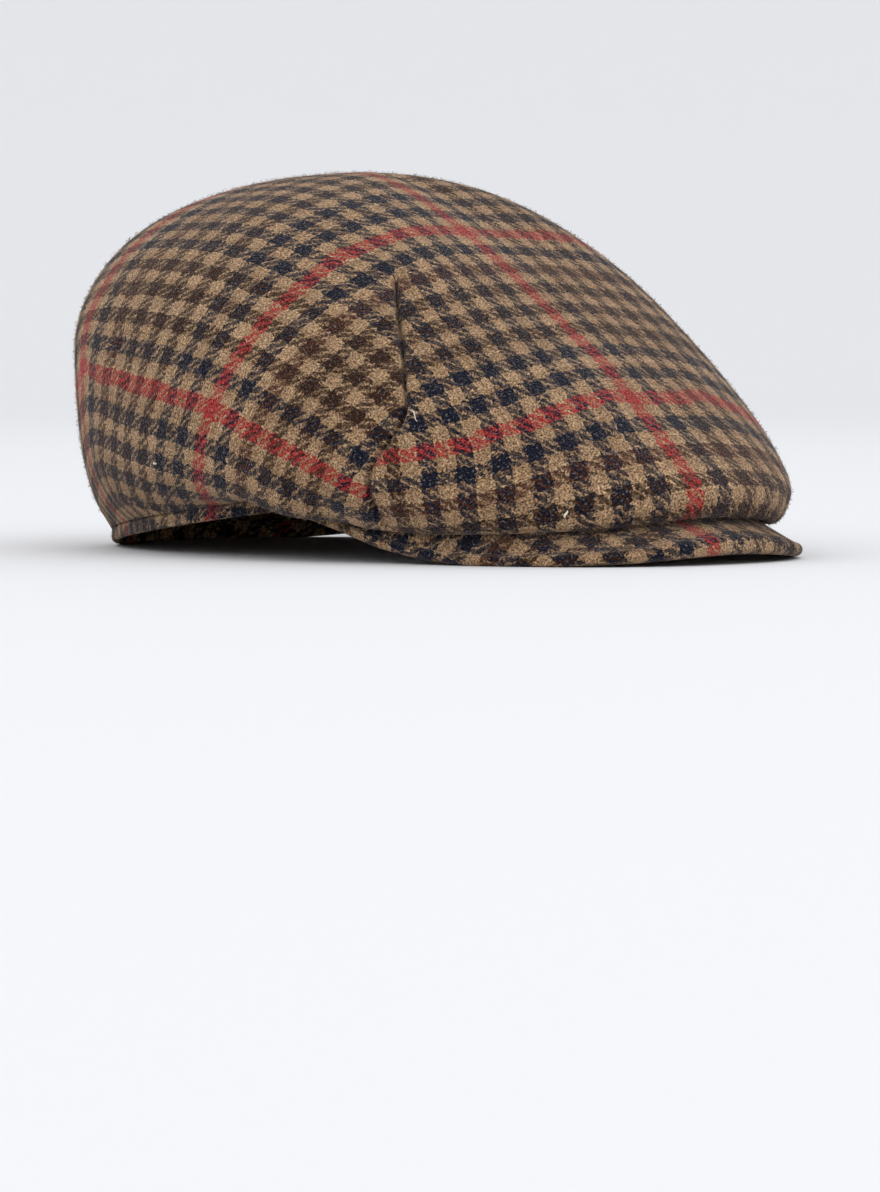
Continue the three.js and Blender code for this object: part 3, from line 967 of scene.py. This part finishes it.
@dataclass
class Sketch:
    """A mesh in the making: points and faces with cloth coordinates, in millimetres."""

    points: list[Array] = field(default_factory=list)
    faces: list[Array] = field(default_factory=list)
    cloth: list[Array] = field(default_factory=list)
    napped: list[Array] = field(default_factory=list)
    count: int = 0

    def place(self, points: Array) -> int:
        """Adds points.

        Args:
            points: the points, in any grid.

        Returns:
            The number of the first of them.
        """
        first = self.count
        self.points.append(points.reshape(-1, 3))
        self.count += len(self.points[-1])
        return first

    def skin(self, faces: Array, cloth: Array, napped: bool = False) -> None:
        """Adds faces of one size.

        Args:
            faces: numbers of each face's points.
            cloth: cloth coordinates of each face's corners.
            napped: whether the faces carry loose fibres.
        """
        self.faces.append(faces)
        self.cloth.append(cloth)
        self.napped.append(np.full(len(faces), float(napped)))

    def sheet(self, numbers: Array, cloth: Array, flip: bool = False, napped: bool = False) -> None:
        """Adds a grid of quads.

        Args:
            numbers: numbers of the points, by column and row.
            cloth: cloth coordinates of the points.
            flip: turns the faces over.
            napped: whether the faces carry loose fibres.
        """
        corners = [(slice(None, -1), slice(None, -1)), (slice(1, None), slice(None, -1)),
                   (slice(1, None), slice(1, None)), (slice(None, -1), slice(1, None))]
        if flip:
            corners.reverse()
        faces = np.stack([numbers[c] for c in corners], axis=-1).reshape(-1, 4)
        laid = np.stack([cloth[c] for c in corners], axis=-2).reshape(-1, 4, 2)
        self.skin(faces, laid, napped)

    def finish(self, name: str, shift: Array, material: Material) -> Piece:
        """Makes the piece.

        Args:
            name: the piece's name.
            shift: move to the part's origin.
            material: its material.

        Returns:
            The new object, at the origin.
        """
        mesh = bpy.data.meshes.new(name)
        points = (np.concatenate(self.points) + shift) * MM
        sizes = np.concatenate([np.full(len(f), f.shape[1]) for f in self.faces])
        corners = np.concatenate([f.ravel() for f in self.faces])
        mesh.vertices.add(len(points))
        mesh.vertices.foreach_set("co", points.ravel())
        mesh.loops.add(len(corners))
        mesh.loops.foreach_set("vertex_index", corners.astype(np.int32))
        mesh.polygons.add(len(sizes))
        mesh.polygons.foreach_set("loop_start", (np.cumsum(sizes) - sizes).astype(np.int32))
        mesh.polygons.foreach_set("use_smooth", np.ones(len(sizes), bool))
        layer = mesh.uv_layers.new(name=CLOTH, do_init=False)
        laid = np.concatenate([c.reshape(-1, 2) for c in self.cloth])
        layer.uv.foreach_set("vector", laid.astype(np.float32).ravel())
        marks = mesh.attributes.new(NAP, "FLOAT", "FACE")
        marks.data.foreach_set("value", np.concatenate(self.napped).astype(np.float32))
        mesh.update(calc_edges=True)
        mesh.materials.append(material)
        piece = bpy.data.objects.new(name, mesh)
        bpy.context.scene.collection.objects.link(piece)
        return piece


def dress(piece: Piece, node: Optional[str] = None) -> None:
    """Rides a piece on the cap, hides the solid that it replaces and logs its faces.

    Args:
        piece: the finished piece.
        node: the solid that it replaces, where it does.
    """
    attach(piece, BODY)
    if node:
        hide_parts(node)
    log.info("%s: %d faces", piece.name, len(piece.data.polygons))


@dataclass
class Crown:
    """The one-piece crown: a thin shell, open below, with its front folded back over the peak."""

    form: CapForm
    lay: ClothLay
    wall: float = 2.2
    column_step: float = 1.3
    seam_offsets: tuple[float, ...] = (0.2, 0.45, 0.75, 1.15, 1.7, 2.4, 3.4)
    tuck_rows: int = 6
    roll_rows: int = 40
    dome_rows: int = 72
    dart_foot: float = 1.15
    dart_fade: float = 0.2  # levels over which a seam fades out
    dart_end: float = 0.07  # the same at the upper end of a dart
    dart_line: tuple[float, float] = (3.2, 0.6)  # depth and width of the sewn line
    dart_dip: tuple[float, float] = (0.7, 4.5)  # depth and width of the dip beside it
    back_line: tuple[float, float] = (0.6, 0.75)
    back_dip: tuple[float, float] = (0.35, 4.0)
    swell_from: tuple[float, float] = (1.5, 2.2)  # levels over which the swells begin
    swell_to: tuple[float, float] = (2.75, 3.0)  # and over which they end
    fold_steps: int = 40
    fold_end: float = 0.02
    nap_from: float = 1.0

    def __post_init__(self) -> None:
        """Sets out the columns of the three patches and the rows."""
        dart = self.form.dart_turn
        self.patches = [self._columns(-180, -dart), self._columns(-dart, dart), self._columns(dart, 180)]
        self.levels = np.concatenate([
            np.linspace(SEAM, CREASE, self.tuck_rows, endpoint=False),
            np.linspace(CREASE, WIDEST, self.roll_rows, endpoint=False),
            np.linspace(WIDEST, TOP, self.dome_rows, endpoint=False),
        ])

    def _columns(self, start: float, end: float) -> Array:
        """Angles from one seam to the next, closer together beside the seams.

        Args:
            start: degrees of the first seam.
            end: degrees of the next.

        Returns:
            The angles, with both seams.
        """
        fine = np.array(self.seam_offsets)
        low, high = start + fine[-1], end - fine[-1]
        even = np.linspace(low, high, round((high - low) / self.column_step) + 1)
        return np.concatenate([[start], start + fine[:-1], even, end - fine[-2::-1], [end]])

    def _seam_depth(self, points: Array, column: int, line: tuple[float, float],
                    dip: tuple[float, float]) -> Array:
        """Depth of a sewn seam that runs up one column."""
        away = np.linalg.norm(points - points[column], axis=-1)
        return sum(depth * np.exp(-((away / width) ** 2)) for depth, width in (line, dip))

    def _relief(self, points: Array, ring: Array) -> Array:
        """Height of the seams, folds and swells over the plain form.

        Args:
            points: the plain form's points, by column and row.
            ring: the columns' angles.

        Returns:
            One height for each point.
        """
        level = self.levels[None, :]
        below = 1 - smooth(level, self.form.dart_top - self.dart_end, self.form.dart_top)
        above = smooth(level, self.dart_foot, self.dart_foot + self.dart_fade)
        height = np.zeros(points.shape[:2])
        first = len(self.patches[0]) - 1
        for column in (first, first + len(self.patches[1]) - 1):
            height -= self._seam_depth(points, column, self.dart_line, self.dart_dip) * below * above
        behind = 1 - smooth(level, self.lay.back_seam_top - self.dart_fade, self.lay.back_seam_top)
        height -= self._seam_depth(points, 0, self.back_line, self.back_dip) * behind
        turn = np.radians(ring)[:, None]
        free = smooth(level, *self.swell_from) * (1 - smooth(level, *self.swell_to))
        for wave in WAVES:
            swell = np.sin(wave.around * turn + wave.phase) * np.cos(wave.up * math.pi * level + wave.phase)
            height += wave.height * swell * free
        for fold in SOFT_FOLDS:
            height += self._fold(points, fold)
        return height

    def _fold(self, points: Array, fold: SoftFold) -> Array:
        """Height of one soft fold, which fades toward both its ends.

        Args:
            points: the plain form's points, by column and row.
            fold: the fold.

        Returns:
            One height for each point.
        """
        share = np.linspace(0, 1, self.fold_steps)
        line = self.form.crown(-(fold.turn_from + (fold.turn_to - fold.turn_from) * share),
                               fold.level_from + (fold.level_to - fold.level_from) * share)
        height = np.zeros(points.shape[:2])
        for place, at in zip(line, share):
            away = np.linalg.norm(points - place, axis=-1)
            fade = math.sqrt(math.sin(math.pi * min(max(at, self.fold_end), 1 - self.fold_end)))
            height = np.maximum(height, fade * np.exp(-((away / fold.width) ** 2)))
        return fold.lift * height

    def build(self, material: Material) -> Piece:
        """Makes the crown's mesh.

        Args:
            material: the woven cloth.

        Returns:
            The crown, a closed wall of cloth.
        """
        ring = np.concatenate([patch[:-1] for patch in self.patches])
        plain = self.form.crown(ring[:, None], self.levels[None, :])
        across = np.roll(plain, -1, axis=0) - np.roll(plain, 1, axis=0)
        upward = np.gradient(plain, axis=1)
        normal = unit(np.cross(across, upward))
        relief = self._relief(plain, ring)
        outer = plain + normal * relief[..., None]
        inner = plain + normal * (np.minimum(relief, 0) - self.wall)[..., None]
        sketch = Sketch()
        count, rows = len(ring), len(self.levels)
        numbers = np.arange(count * rows).reshape(count, rows)
        sketch.place(outer)
        within = sketch.place(inner) + numbers
        top = sketch.place(self.form.top[None])
        low_top = sketch.place((self.form.top - [0, 0, self.wall])[None])
        first = 0
        for k, angles in enumerate(self.patches):
            columns = (first + np.arange(len(angles))) % count
            first += len(angles) - 1
            cloth = self.lay.at(angles[:, None], self.levels[None, :], behind=k != 1)
            peak = self.lay.at(angles, np.full(len(angles), TOP), behind=k != 1)
            hidden = int(np.searchsorted(self.levels, self.nap_from))
            sketch.sheet(numbers[columns][:, :hidden + 1], cloth[:, :hidden + 1])
            sketch.sheet(numbers[columns][:, hidden:], cloth[:, hidden:], napped=True)
            sketch.sheet(within[columns], cloth, flip=True)
            self._close_top(sketch, numbers[columns][:, -1], top, cloth[:, -1], peak, False)
            self._close_top(sketch, within[columns][:, -1], low_top, cloth[:, -1], peak, True)
            edge = np.stack([within[columns][:, 0], numbers[columns][:, 0]], axis=1)
            sketch.sheet(edge, np.stack([cloth[:, 0], cloth[:, 0]], axis=1))
        return sketch.finish("crown_cloth", self.form.shift, material)

    @staticmethod
    def _close_top(sketch: Sketch, ring: Array, top: int, cloth: Array, peak: Array, flip: bool) -> None:
        """Closes the top of one face of the wall with a fan.

        Args:
            sketch: the crown in the making.
            ring: numbers of the last row's points.
            top: number of the point at the top.
            cloth: cloth coordinates of the last row.
            peak: cloth coordinates at the top.
            flip: turns the faces over.
        """
        faces = np.stack([ring[:-1], ring[1:], np.full(len(ring) - 1, top)], axis=1)
        laid = np.stack([cloth[:-1], cloth[1:], peak[:-1]], axis=1)
        if flip:
            faces, laid = faces[:, ::-1], laid[:, ::-1]
        sketch.skin(faces, laid, napped=not flip)


@dataclass
class Peak:
    """The peak: a curved board covered in the same cloth, with a rolled front edge."""

    form: CapForm
    lay: ClothLay
    stop: float = 0.985
    steps: int = 150
    board_rows: int = 24
    roll_rows: int = 12
    roll_share: float = 0.52  # depth of the edge's roll, as a share of its height
    roll_most: float = 0.25  # the most that it takes of the board's depth
    napped_share: float = 0.75  # of the roll, from its top
    along_shift: float = -9.0  # check pairs by which the peak's cloth lies forward of its plan
    under_shift: float = -6.7

    def build(self, material: Material) -> Piece:
        """Makes the peak's mesh.

        Args:
            material: the woven cloth.

        Returns:
            The peak, a closed body.
        """
        form = self.form
        angle = form.peak_end * self.stop * np.linspace(-1, 1, self.steps + 1)
        back_top, back_low = form.opening(angle, form.peak_thickness), form.opening(angle)
        edge = form.peak_edge(angle)
        ahead = np.gradient(edge, axis=0)
        out = unit(np.stack([ahead[:, 1], -ahead[:, 0], 0 * angle], axis=1))
        room = np.linalg.norm(edge - back_low, axis=1)
        rise = (form.peak_edge(angle, 1.0) - edge)[:, 2]
        depth = np.minimum(self.roll_share * rise, self.roll_most * room)[:, None]
        rise = rise[:, None, None]
        turn = np.radians(np.linspace(90, -90, self.roll_rows + 1))[None, :, None]
        up = np.array([0.0, 0.0, 1.0])
        core = (edge - out * depth)[:, None]
        roll = core + out[:, None] * depth[:, None] * np.cos(turn) + up * rise / 2 * (1 + np.sin(turn))
        share = np.linspace(0, 1, self.board_rows, endpoint=False)
        upper = back_top[:, None] + (roll[:, :1] - back_top[:, None]) * share[None, :, None]
        lower = back_low[:, None] + (roll[:, -1:] - back_low[:, None]) * share[None, ::-1, None]
        loop = np.concatenate([upper, roll, lower], axis=1)
        arc = (np.pi / 2 - turn) * rise / 2
        cloth = np.concatenate([self._plan(upper, self.along_shift),
                                self._plan(core + out[:, None] * arc, self.along_shift)], axis=1)
        under = self._plan(np.concatenate([roll[:, -1:], lower], axis=1), self.under_shift)
        sketch = Sketch()
        sketch.place(loop)
        size = loop.shape[1]
        numbers = np.arange(loop.size // 3).reshape(-1, size)
        front = self.board_rows + self.roll_rows
        hidden, bare = self.board_rows // 2, self.board_rows + round(self.roll_rows * self.napped_share)
        sketch.sheet(numbers[:, :hidden + 1], cloth[:, :hidden + 1])
        sketch.sheet(numbers[:, hidden:bare + 1], cloth[:, hidden:bare + 1], napped=True)
        sketch.sheet(numbers[:, bare:front + 1], cloth[:, bare:])
        sketch.sheet(numbers[:, front:], under)
        back = np.stack([numbers[:, -1], numbers[:, 0]], axis=1)
        sketch.sheet(back, np.stack([under[:, -1], cloth[:, 0]], axis=1))
        for end, flip in ((0, False), (-1, True)):
            cap, laid = numbers[end][None], np.concatenate([cloth[end], under[end][1:]])[None]
            if flip:
                cap, laid = cap[:, ::-1], laid[:, ::-1]
            sketch.skin(cap, laid)
        return sketch.finish("peak_cloth", form.shift, material)

    def _plan(self, points: Array, shift: float) -> Array:
        """Cloth coordinates of points seen from above."""
        pair = self.lay.pair
        return np.stack([points[..., 0] + self.lay.middle * pair, shift * pair - points[..., 1]], axis=-1)


@dataclass
class Hem:
    """The hem: the crown's lower edge turned under, from one end of the peak round the back."""

    form: CapForm
    lay: ClothLay
    depth: float = 2.6
    rounding: float = 1.1
    groove: float = 0.6  # depth of the line where the crown is sewn on
    tongue: float = 1.8  # how far it reaches up inside the crown
    end_clear: float = 0.35
    peak_stop: float = 0.985
    steps: int = 220
    corner_rows: int = 4
    seam_look: float = 0.2  # level above the seam that gives the cloth's way down

    def _section(self) -> tuple[Array, Array]:
        """The hem's rounded section, from its upper outer edge and down.

        Returns:
            The depth and the height of each of its points.
        """
        r, far, groove = self.rounding, self.depth - self.rounding, self.groove
        seam = self.form.hem_height + self.form.seam_gap
        top = seam + self.tongue
        corners = ((groove, seam - groove, groove), (r, r, r), (far, r, r), (far, top - r, r))
        turns = np.radians(np.linspace(0, 90, self.corner_rows + 1))
        depth = [x + bend * np.cos(k * math.pi / 2 + turns) for k, (x, _, bend) in enumerate(corners, 1)]
        up = [z + bend * np.sin(k * math.pi / 2 + turns) for k, (_, z, bend) in enumerate(corners, 1)]
        return np.concatenate([[groove], *depth]), np.concatenate([[top], *up])

    def build(self, material: Material) -> Piece:
        """Makes the hem's mesh.

        Args:
            material: the woven cloth.

        Returns:
            The hem, a closed strip whose check runs on from the crown.
        """
        start = self.form.peak_end * self.peak_stop + self.end_clear
        angle = np.linspace(start, 360 - start, self.steps + 1)
        angle = np.where(angle > 180, angle - 360, angle)
        foot, inward = self.form.opening(angle), -self.form.outward(angle)
        depth, up = self._section()
        upward = np.array([0, 0, 1.0])
        loop = foot[:, None] + inward[:, None] * depth[None, :, None] + upward * up[None, :, None]
        run = np.concatenate([[0.0], np.cumsum(np.hypot(np.diff(depth), np.diff(up)))])
        face = self.corner_rows + 1
        run -= run[face]
        seam, above = np.zeros(len(angle)), np.full(len(angle), self.seam_look)
        at_seam = self.lay.at(angle, seam, behind=True)
        downward = unit(at_seam - self.lay.at(angle, above, behind=True))
        cloth = at_seam[:, None] + downward[:, None] * run[None, :, None]
        sketch = Sketch()
        sketch.place(loop)
        numbers = np.arange(loop.size // 3).reshape(len(angle), -1)
        round_numbers = np.concatenate([numbers, numbers[:, :1]], axis=1)
        round_cloth = np.concatenate([cloth, cloth[:, -1:]], axis=1)
        behind = int(np.argmax(np.abs(np.diff(angle)) > 180)) + 1
        for part in (slice(None, behind), slice(behind - 1, None)):
            for rows in (slice(None, face + 1), slice(face, face + 2), slice(face + 1, None)):
                sketch.sheet(round_numbers[part, rows], round_cloth[part, rows], flip=True,
                             napped=rows.start == face)
        sketch.skin(numbers[:1], cloth[:1])
        sketch.skin(numbers[-1:, ::-1], cloth[-1:, ::-1])
        return sketch.finish("hem_cloth", self.form.shift, material)


@dataclass
class LooseEnds:
    """Loose bits of pale wool that cling to the crown's right side."""

    form: CapForm
    steps: int = 6
    sides: int = 6
    lift: float = 0.12  # height of the bend, as a share of the length
    curl: float = 5.0
    tip: float = 0.35  # thickness at both ends, as a share of the middle's
    raised: float = 1 / 3  # height of its ends above the cloth, as a share of its thickness

    def build(self, material: Material) -> Piece:
        """Makes all the ends as one mesh.

        Args:
            material: their wool.

        Returns:
            The ends, each a closed bent thread.
        """
        sketch = Sketch()
        for end in LOOSE_ENDS:
            self._thread(sketch, end)
        return sketch.finish("loose_thread_ends", self.form.shift, material)

    def _thread(self, sketch: Sketch, end: LooseEnd) -> None:
        """Adds one bent thread, thin at both ends.

        Args:
            sketch: the ends in the making.
            end: the thread's place and size.
        """
        near = 0.02
        turns = np.array([end.turn, end.turn - near, end.turn])
        root, aside, above = self.form.crown(-turns, np.array([end.level, end.level, end.level + near]))
        level, up = unit(aside - root), unit(above - root)
        normal = unit(np.cross(level, up))
        heading = math.radians(end.heading)
        ahead = unit(level * math.cos(heading) + np.cross(normal, level) * math.sin(heading))
        side = np.cross(normal, ahead)
        share = np.linspace(0, 1, self.steps + 1)[:, None]
        bend = np.sin(math.pi * share)
        sway = side * end.length * self.lift * np.sin(self.curl * share)
        line = root + ahead * end.length * (share - 0.5) + sway
        line = line + normal * (end.thickness * self.raised + end.length * self.lift * bend)
        around = np.radians(np.arange(self.sides) * 360 / self.sides)[None, :, None]
        radius = (end.thickness / 2 * (self.tip + (1 - self.tip) * bend))[:, None]
        points = line[:, None] + radius * (np.cos(around) * side + np.sin(around) * normal)
        numbers = sketch.place(points) + np.arange(points.size // 3).reshape(-1, self.sides)
        closed = np.concatenate([numbers, numbers[:, :1]], axis=1)
        sketch.sheet(closed, np.zeros((*closed.shape, 2)), flip=True)
        for cap in (numbers[:1, ::-1], numbers[-1:]):
            sketch.skin(cap, np.zeros((*cap.shape, 2)))


@dataclass(frozen=True)
class Nap:
    """Loose wool fibres on a piece of cloth, drawn thicker than real ones so that they show."""

    name: str
    per_square_cm: float
    length: float
    thickness: float
    seed: int
    lean: float = 75.0
    arch_middle: tuple[float, float, float] = (0.05, 0, 0.6)  # of a fibre of length one
    arch_end: tuple[float, float, float] = (0.55, 0.15, 0.8)
    arch_steps: int = 8
    tip: float = 0.25  # thickness at the end, as a share of the root's
    growth: tuple[float, float] = (0.45, 1.25)  # spread of the lengths
    segments: int = 2
    sides: int = 3

    def _tree(self) -> Tree:
        """Node tree that strews bent fibres over the marked faces of a mesh.

        Returns:
            The new tree, with an input for each size.
        """
        tree = bpy.data.node_groups.new(self.name, "GeometryNodeTree")
        tree.is_modifier = True
        for label, kind in (("Ground", "NodeSocketGeometry"), ("Density", "NodeSocketFloat"),
                            ("Length", "NodeSocketFloat"), ("Thickness", "NodeSocketFloat"),
                            ("Lean", "NodeSocketFloat"), ("Seed", "NodeSocketInt"),
                            ("Wool", "NodeSocketMaterial")):
            tree.interface.new_socket(label, in_out="INPUT", socket_type=kind)
        tree.interface.new_socket("Fibres", in_out="OUTPUT", socket_type="NodeSocketGeometry")
        given = add(tree, "NodeGroupInput").outputs
        marked = add(tree, "GeometryNodeInputNamedAttribute", {"Name": NAP}, data_type="FLOAT").outputs[0]
        density = add(tree, "ShaderNodeMath", {0: given["Density"], 1: marked},
                      operation="MULTIPLY").outputs[0]
        strewn = add(tree, "GeometryNodeDistributePointsOnFaces", {
            "Mesh": given["Ground"], "Density": density, "Seed": given["Seed"]})
        laid = add(tree, "GeometryNodeInputNamedAttribute", {"Name": CLOTH},
                   data_type="FLOAT_VECTOR").outputs[0]
        rooted = add(tree, "GeometryNodeStoreNamedAttribute", {
            "Geometry": strewn.outputs["Points"], "Name": CLOTH, "Value": laid},
            data_type="FLOAT_VECTOR", domain="POINT")
        arch = add(tree, "GeometryNodeCurveQuadraticBezier", {
            "Resolution": self.arch_steps, "Start": (0, 0, 0), "Middle": self.arch_middle,
            "End": self.arch_end})
        stepped = add(tree, "GeometryNodeResampleCurve", {
            "Curve": arch.outputs[0], "Count": self.segments + 1}, mode="COUNT")
        sized = add(tree, "GeometryNodeTransform", {
            "Geometry": stepped.outputs[0],
            "Scale": add(tree, "ShaderNodeCombineXYZ", {
                0: given["Length"], 1: given["Length"], 2: given["Length"]}).outputs[0]})
        along = add(tree, "GeometryNodeSplineParameter").outputs["Factor"]
        taper = add(tree, "ShaderNodeMapRange", {
            "Value": along, "To Min": 1.0, "To Max": self.tip}).outputs[0]
        drawn = add(tree, "GeometryNodeSetCurveRadius", {"Curve": sized.outputs[0], "Radius": taper})
        half = add(tree, "ShaderNodeMath", {0: given["Thickness"], 1: 0.5}, operation="MULTIPLY").outputs[0]
        ring = add(tree, "GeometryNodeCurvePrimitiveCircle", {"Resolution": self.sides, "Radius": half})
        fibre = add(tree, "GeometryNodeCurveToMesh", {
            "Curve": drawn.outputs[0], "Profile Curve": ring.outputs[0], "Fill Caps": True}).outputs[0]
        tilt = add(tree, "ShaderNodeCombineXYZ", {0: given["Lean"]}).outputs[0]
        full_turn = (0, 0, 2 * math.pi)
        spin = add(tree, "FunctionNodeRandomValue", {0: (0, 0, 0), 1: full_turn, "Seed": given["Seed"]},
                   data_type="FLOAT_VECTOR").outputs[0]
        swing = add(tree, "FunctionNodeRandomValue", {0: (0, 0, 0), 1: tilt, "Seed": given["Seed"]},
                    data_type="FLOAT_VECTOR").outputs[0]
        turned = add(tree, "ShaderNodeVectorMath", {0: spin, 1: swing}, operation="ADD").outputs[0]
        pose = add(tree, "FunctionNodeEulerToRotation", {0: turned}).outputs[0]
        stand = add(tree, "FunctionNodeRotateRotation", {0: strewn.outputs["Rotation"], 1: pose},
                    rotation_space="LOCAL")
        grown = add(tree, "FunctionNodeRandomValue", {
            2: self.growth[0], 3: self.growth[1], "Seed": given["Seed"]}, data_type="FLOAT").outputs[1]
        planted = add(tree, "GeometryNodeInstanceOnPoints", {
            "Points": rooted.outputs[0], "Instance": fibre, "Rotation": stand.outputs[0], "Scale": grown})
        whole = add(tree, "GeometryNodeRealizeInstances", {0: planted.outputs[0]})
        dyed = add(tree, "GeometryNodeSetMaterial", {
            "Geometry": whole.outputs[0], "Material": given["Wool"]})
        add(tree, "NodeGroupOutput", {0: dyed.outputs[0]})
        return tree

    def grow(self, ground: Piece, wool: Material) -> Piece:
        """Grows the fibres on a piece.

        Args:
            ground: the piece that carries them.
            wool: the fibres' material.

        Returns:
            All the fibres as one mesh.
        """
        tree = self._tree()
        bed = bpy.data.objects.new("nap_bed", ground.data)
        bpy.context.scene.collection.objects.link(bed)
        strew = bed.modifiers.new(self.name, "NODES")
        strew.node_group = tree
        values = {
            "Density": self.per_square_cm * SQUARE_CM_IN_METRE,
            "Length": self.length * MM,
            "Thickness": self.thickness * MM,
            "Lean": math.radians(self.lean),
            "Seed": self.seed,
            "Wool": wool,
        }
        for item in tree.interface.items_tree:
            if item.in_out == "INPUT" and item.name in values:
                strew[item.identifier] = values[item.name]
        graph = bpy.context.evaluated_depsgraph_get()
        mesh = bpy.data.meshes.new_from_object(bed.evaluated_get(graph))
        mesh.name = self.name
        bpy.data.objects.remove(bed)
        bpy.data.node_groups.remove(tree)
        piece = bpy.data.objects.new(self.name, mesh)
        bpy.context.scene.collection.objects.link(piece)
        return piece


class Lamp(NamedTuple):
    """A soft lamp: where it stands round the cap, how large it is and how strong."""

    name: str
    azimuth: float
    elevation: float
    distance: float
    size: float
    power: float


@dataclass
class Studio:
    """A pale seamless floor, soft lamps and the camera."""

    floor_radius: float = 4.5
    floor_rise: float = 2.5
    floor_rings: tuple[float, ...] = (0.3, 1.0, 2.0)
    floor_steps: int = 96
    rise_steps: int = 16
    lamps: tuple[Lamp, ...] = (
        Lamp("key_lamp", azimuth=-15, elevation=50, distance=2.4, size=1.8, power=7),
        Lamp("fill_lamp", azimuth=-95, elevation=35, distance=2.6, size=2.2, power=2),
        Lamp("rim_lamp", azimuth=140, elevation=50, distance=2.6, size=2.0, power=2),
    )
    sky: str = "#eef0f3"
    sky_strength: float = 1.18
    camera_azimuth: float = -44.0
    camera_elevation: float = 0.5
    camera_distance: float = 1.3
    lens: float = 119.0
    clip_start: float = 0.01
    aim: tuple[float, float, float] = (0.0, 0.0, 0.046)
    aim_drop: float = 0.061

    def build(self) -> None:
        """Makes the floor, the lamps, the sky and the camera."""
        self._floor()
        for lamp in self.lamps:
            light = bpy.data.lights.new(lamp.name, "AREA")
            light.shape = "DISK"
            light.size = lamp.size
            light.energy = lamp.power
            holder = bpy.data.objects.new(lamp.name, light)
            self._stand(holder, lamp.azimuth, lamp.elevation, lamp.distance, Vector(self.aim))
        world = bpy.data.worlds.new("studio_sky")
        world.use_nodes = True
        sky = world.node_tree.nodes["Background"]
        sky.inputs["Color"].default_value = linear(self.sky)
        sky.inputs["Strength"].default_value = self.sky_strength
        scene = bpy.context.scene
        scene.world = world
        scene.view_settings.view_transform = "Standard"
        lens = bpy.data.cameras.new("camera")
        lens.lens = self.lens
        lens.clip_start = self.clip_start
        camera = bpy.data.objects.new("camera", lens)
        target = Vector(self.aim) - Vector((0, 0, self.aim_drop))
        self._stand(camera, self.camera_azimuth, self.camera_elevation, self.camera_distance, target)
        scene.camera = camera

    def _stand(self, thing: Piece, azimuth: float, elevation: float, distance: float,
               target: Vector) -> None:
        """Places a lamp or the camera round the cap and turns it to a target.

        Args:
            thing: the lamp or the camera.
            azimuth: degrees round the cap, 0 in front of it.
            elevation: degrees above level.
            distance: metres from the cap.
            target: the place that it looks at.
        """
        a, e = math.radians(azimuth), math.radians(elevation)
        away = Vector((math.sin(a) * math.cos(e), -math.cos(a) * math.cos(e), math.sin(e)))
        thing.location = Vector(self.aim) + away * distance
        thing.rotation_euler = (target - thing.location).to_track_quat("-Z", "Y").to_euler()
        bpy.context.scene.collection.objects.link(thing)

    def _floor(self) -> None:
        """Makes the floor: a wide disc whose rim sweeps up all round."""
        bend = np.radians(np.linspace(0, 90, self.rise_steps + 1))
        radius = np.concatenate([self.floor_rings, self.floor_radius + self.floor_rise * np.sin(bend)])
        up = np.concatenate([np.zeros(len(self.floor_rings)), self.floor_rise * (1 - np.cos(bend))])
        turns = np.radians(np.linspace(0, 360, self.floor_steps + 1)[:-1])
        ring = np.stack([np.cos(turns), np.sin(turns)], axis=1)
        points = [(0.0, 0.0, 0.0)]
        for r, z in zip(radius, up):
            points.extend((r * x, r * y, z) for x, y in ring)
        count = len(turns)
        faces = [(0, 1 + i, 1 + (i + 1) % count) for i in range(count)]
        for k in range(len(radius) - 1):
            low, high = 1 + k * count, 1 + (k + 1) * count
            for i in range(count):
                j = (i + 1) % count
                faces.append((low + i, high + i, high + j, low + j))
        mesh = bpy.data.meshes.new("studio_floor")
        mesh.from_pydata(points, [], faces)
        mesh.shade_smooth()
        mesh.materials.append(StudioFinish().material())
        floor = bpy.data.objects.new("studio_floor", mesh)
        bpy.context.scene.collection.objects.link(floor)


def main() -> None:
    """Builds the studio and the cap's pieces in order."""
    logging.basicConfig(level=logging.INFO, format="%(name)s: %(message)s")
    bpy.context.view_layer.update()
    Studio().build()
    form = CapForm()
    lay = ClothLay(form)
    tweed = TweedFinish(pair=lay.pair)
    woven, loose = tweed.material(Wool.WOVEN), tweed.material(Wool.LOOSE)
    clear = replace(tweed, cross_stripe=tweed.navy).material(Wool.CLEAR)
    crown = Crown(form, lay).build(woven)
    peak = Peak(form, lay).build(clear)
    hem = Hem(form, lay).build(woven)
    naps = [
        Nap("crown_nap_short", per_square_cm=15, length=0.55, thickness=0.1, seed=3).grow(crown, loose),
        Nap("crown_nap_long", per_square_cm=15, length=1.0, thickness=0.12, seed=5).grow(crown, loose),
        Nap("peak_nap", per_square_cm=24, length=0.7, thickness=0.1, seed=7).grow(peak, loose),
        Nap("hem_nap", per_square_cm=24, length=0.7, thickness=0.1, seed=11).grow(hem, loose),
    ]
    ends = LooseEnds(form).build(LintFinish().material())
    for piece, node in ((crown, "crown"), (peak, "peak"), (hem, "hem_band")):
        dress(piece, node)
    for piece in (*naps, ends):
        dress(piece)
    width, length = lay.size()
    log.info("flat cloth: %.0f by %.0f mm, %.0f square cm", width, length, lay.area / 100)


if __name__ == "__main__":
    main()
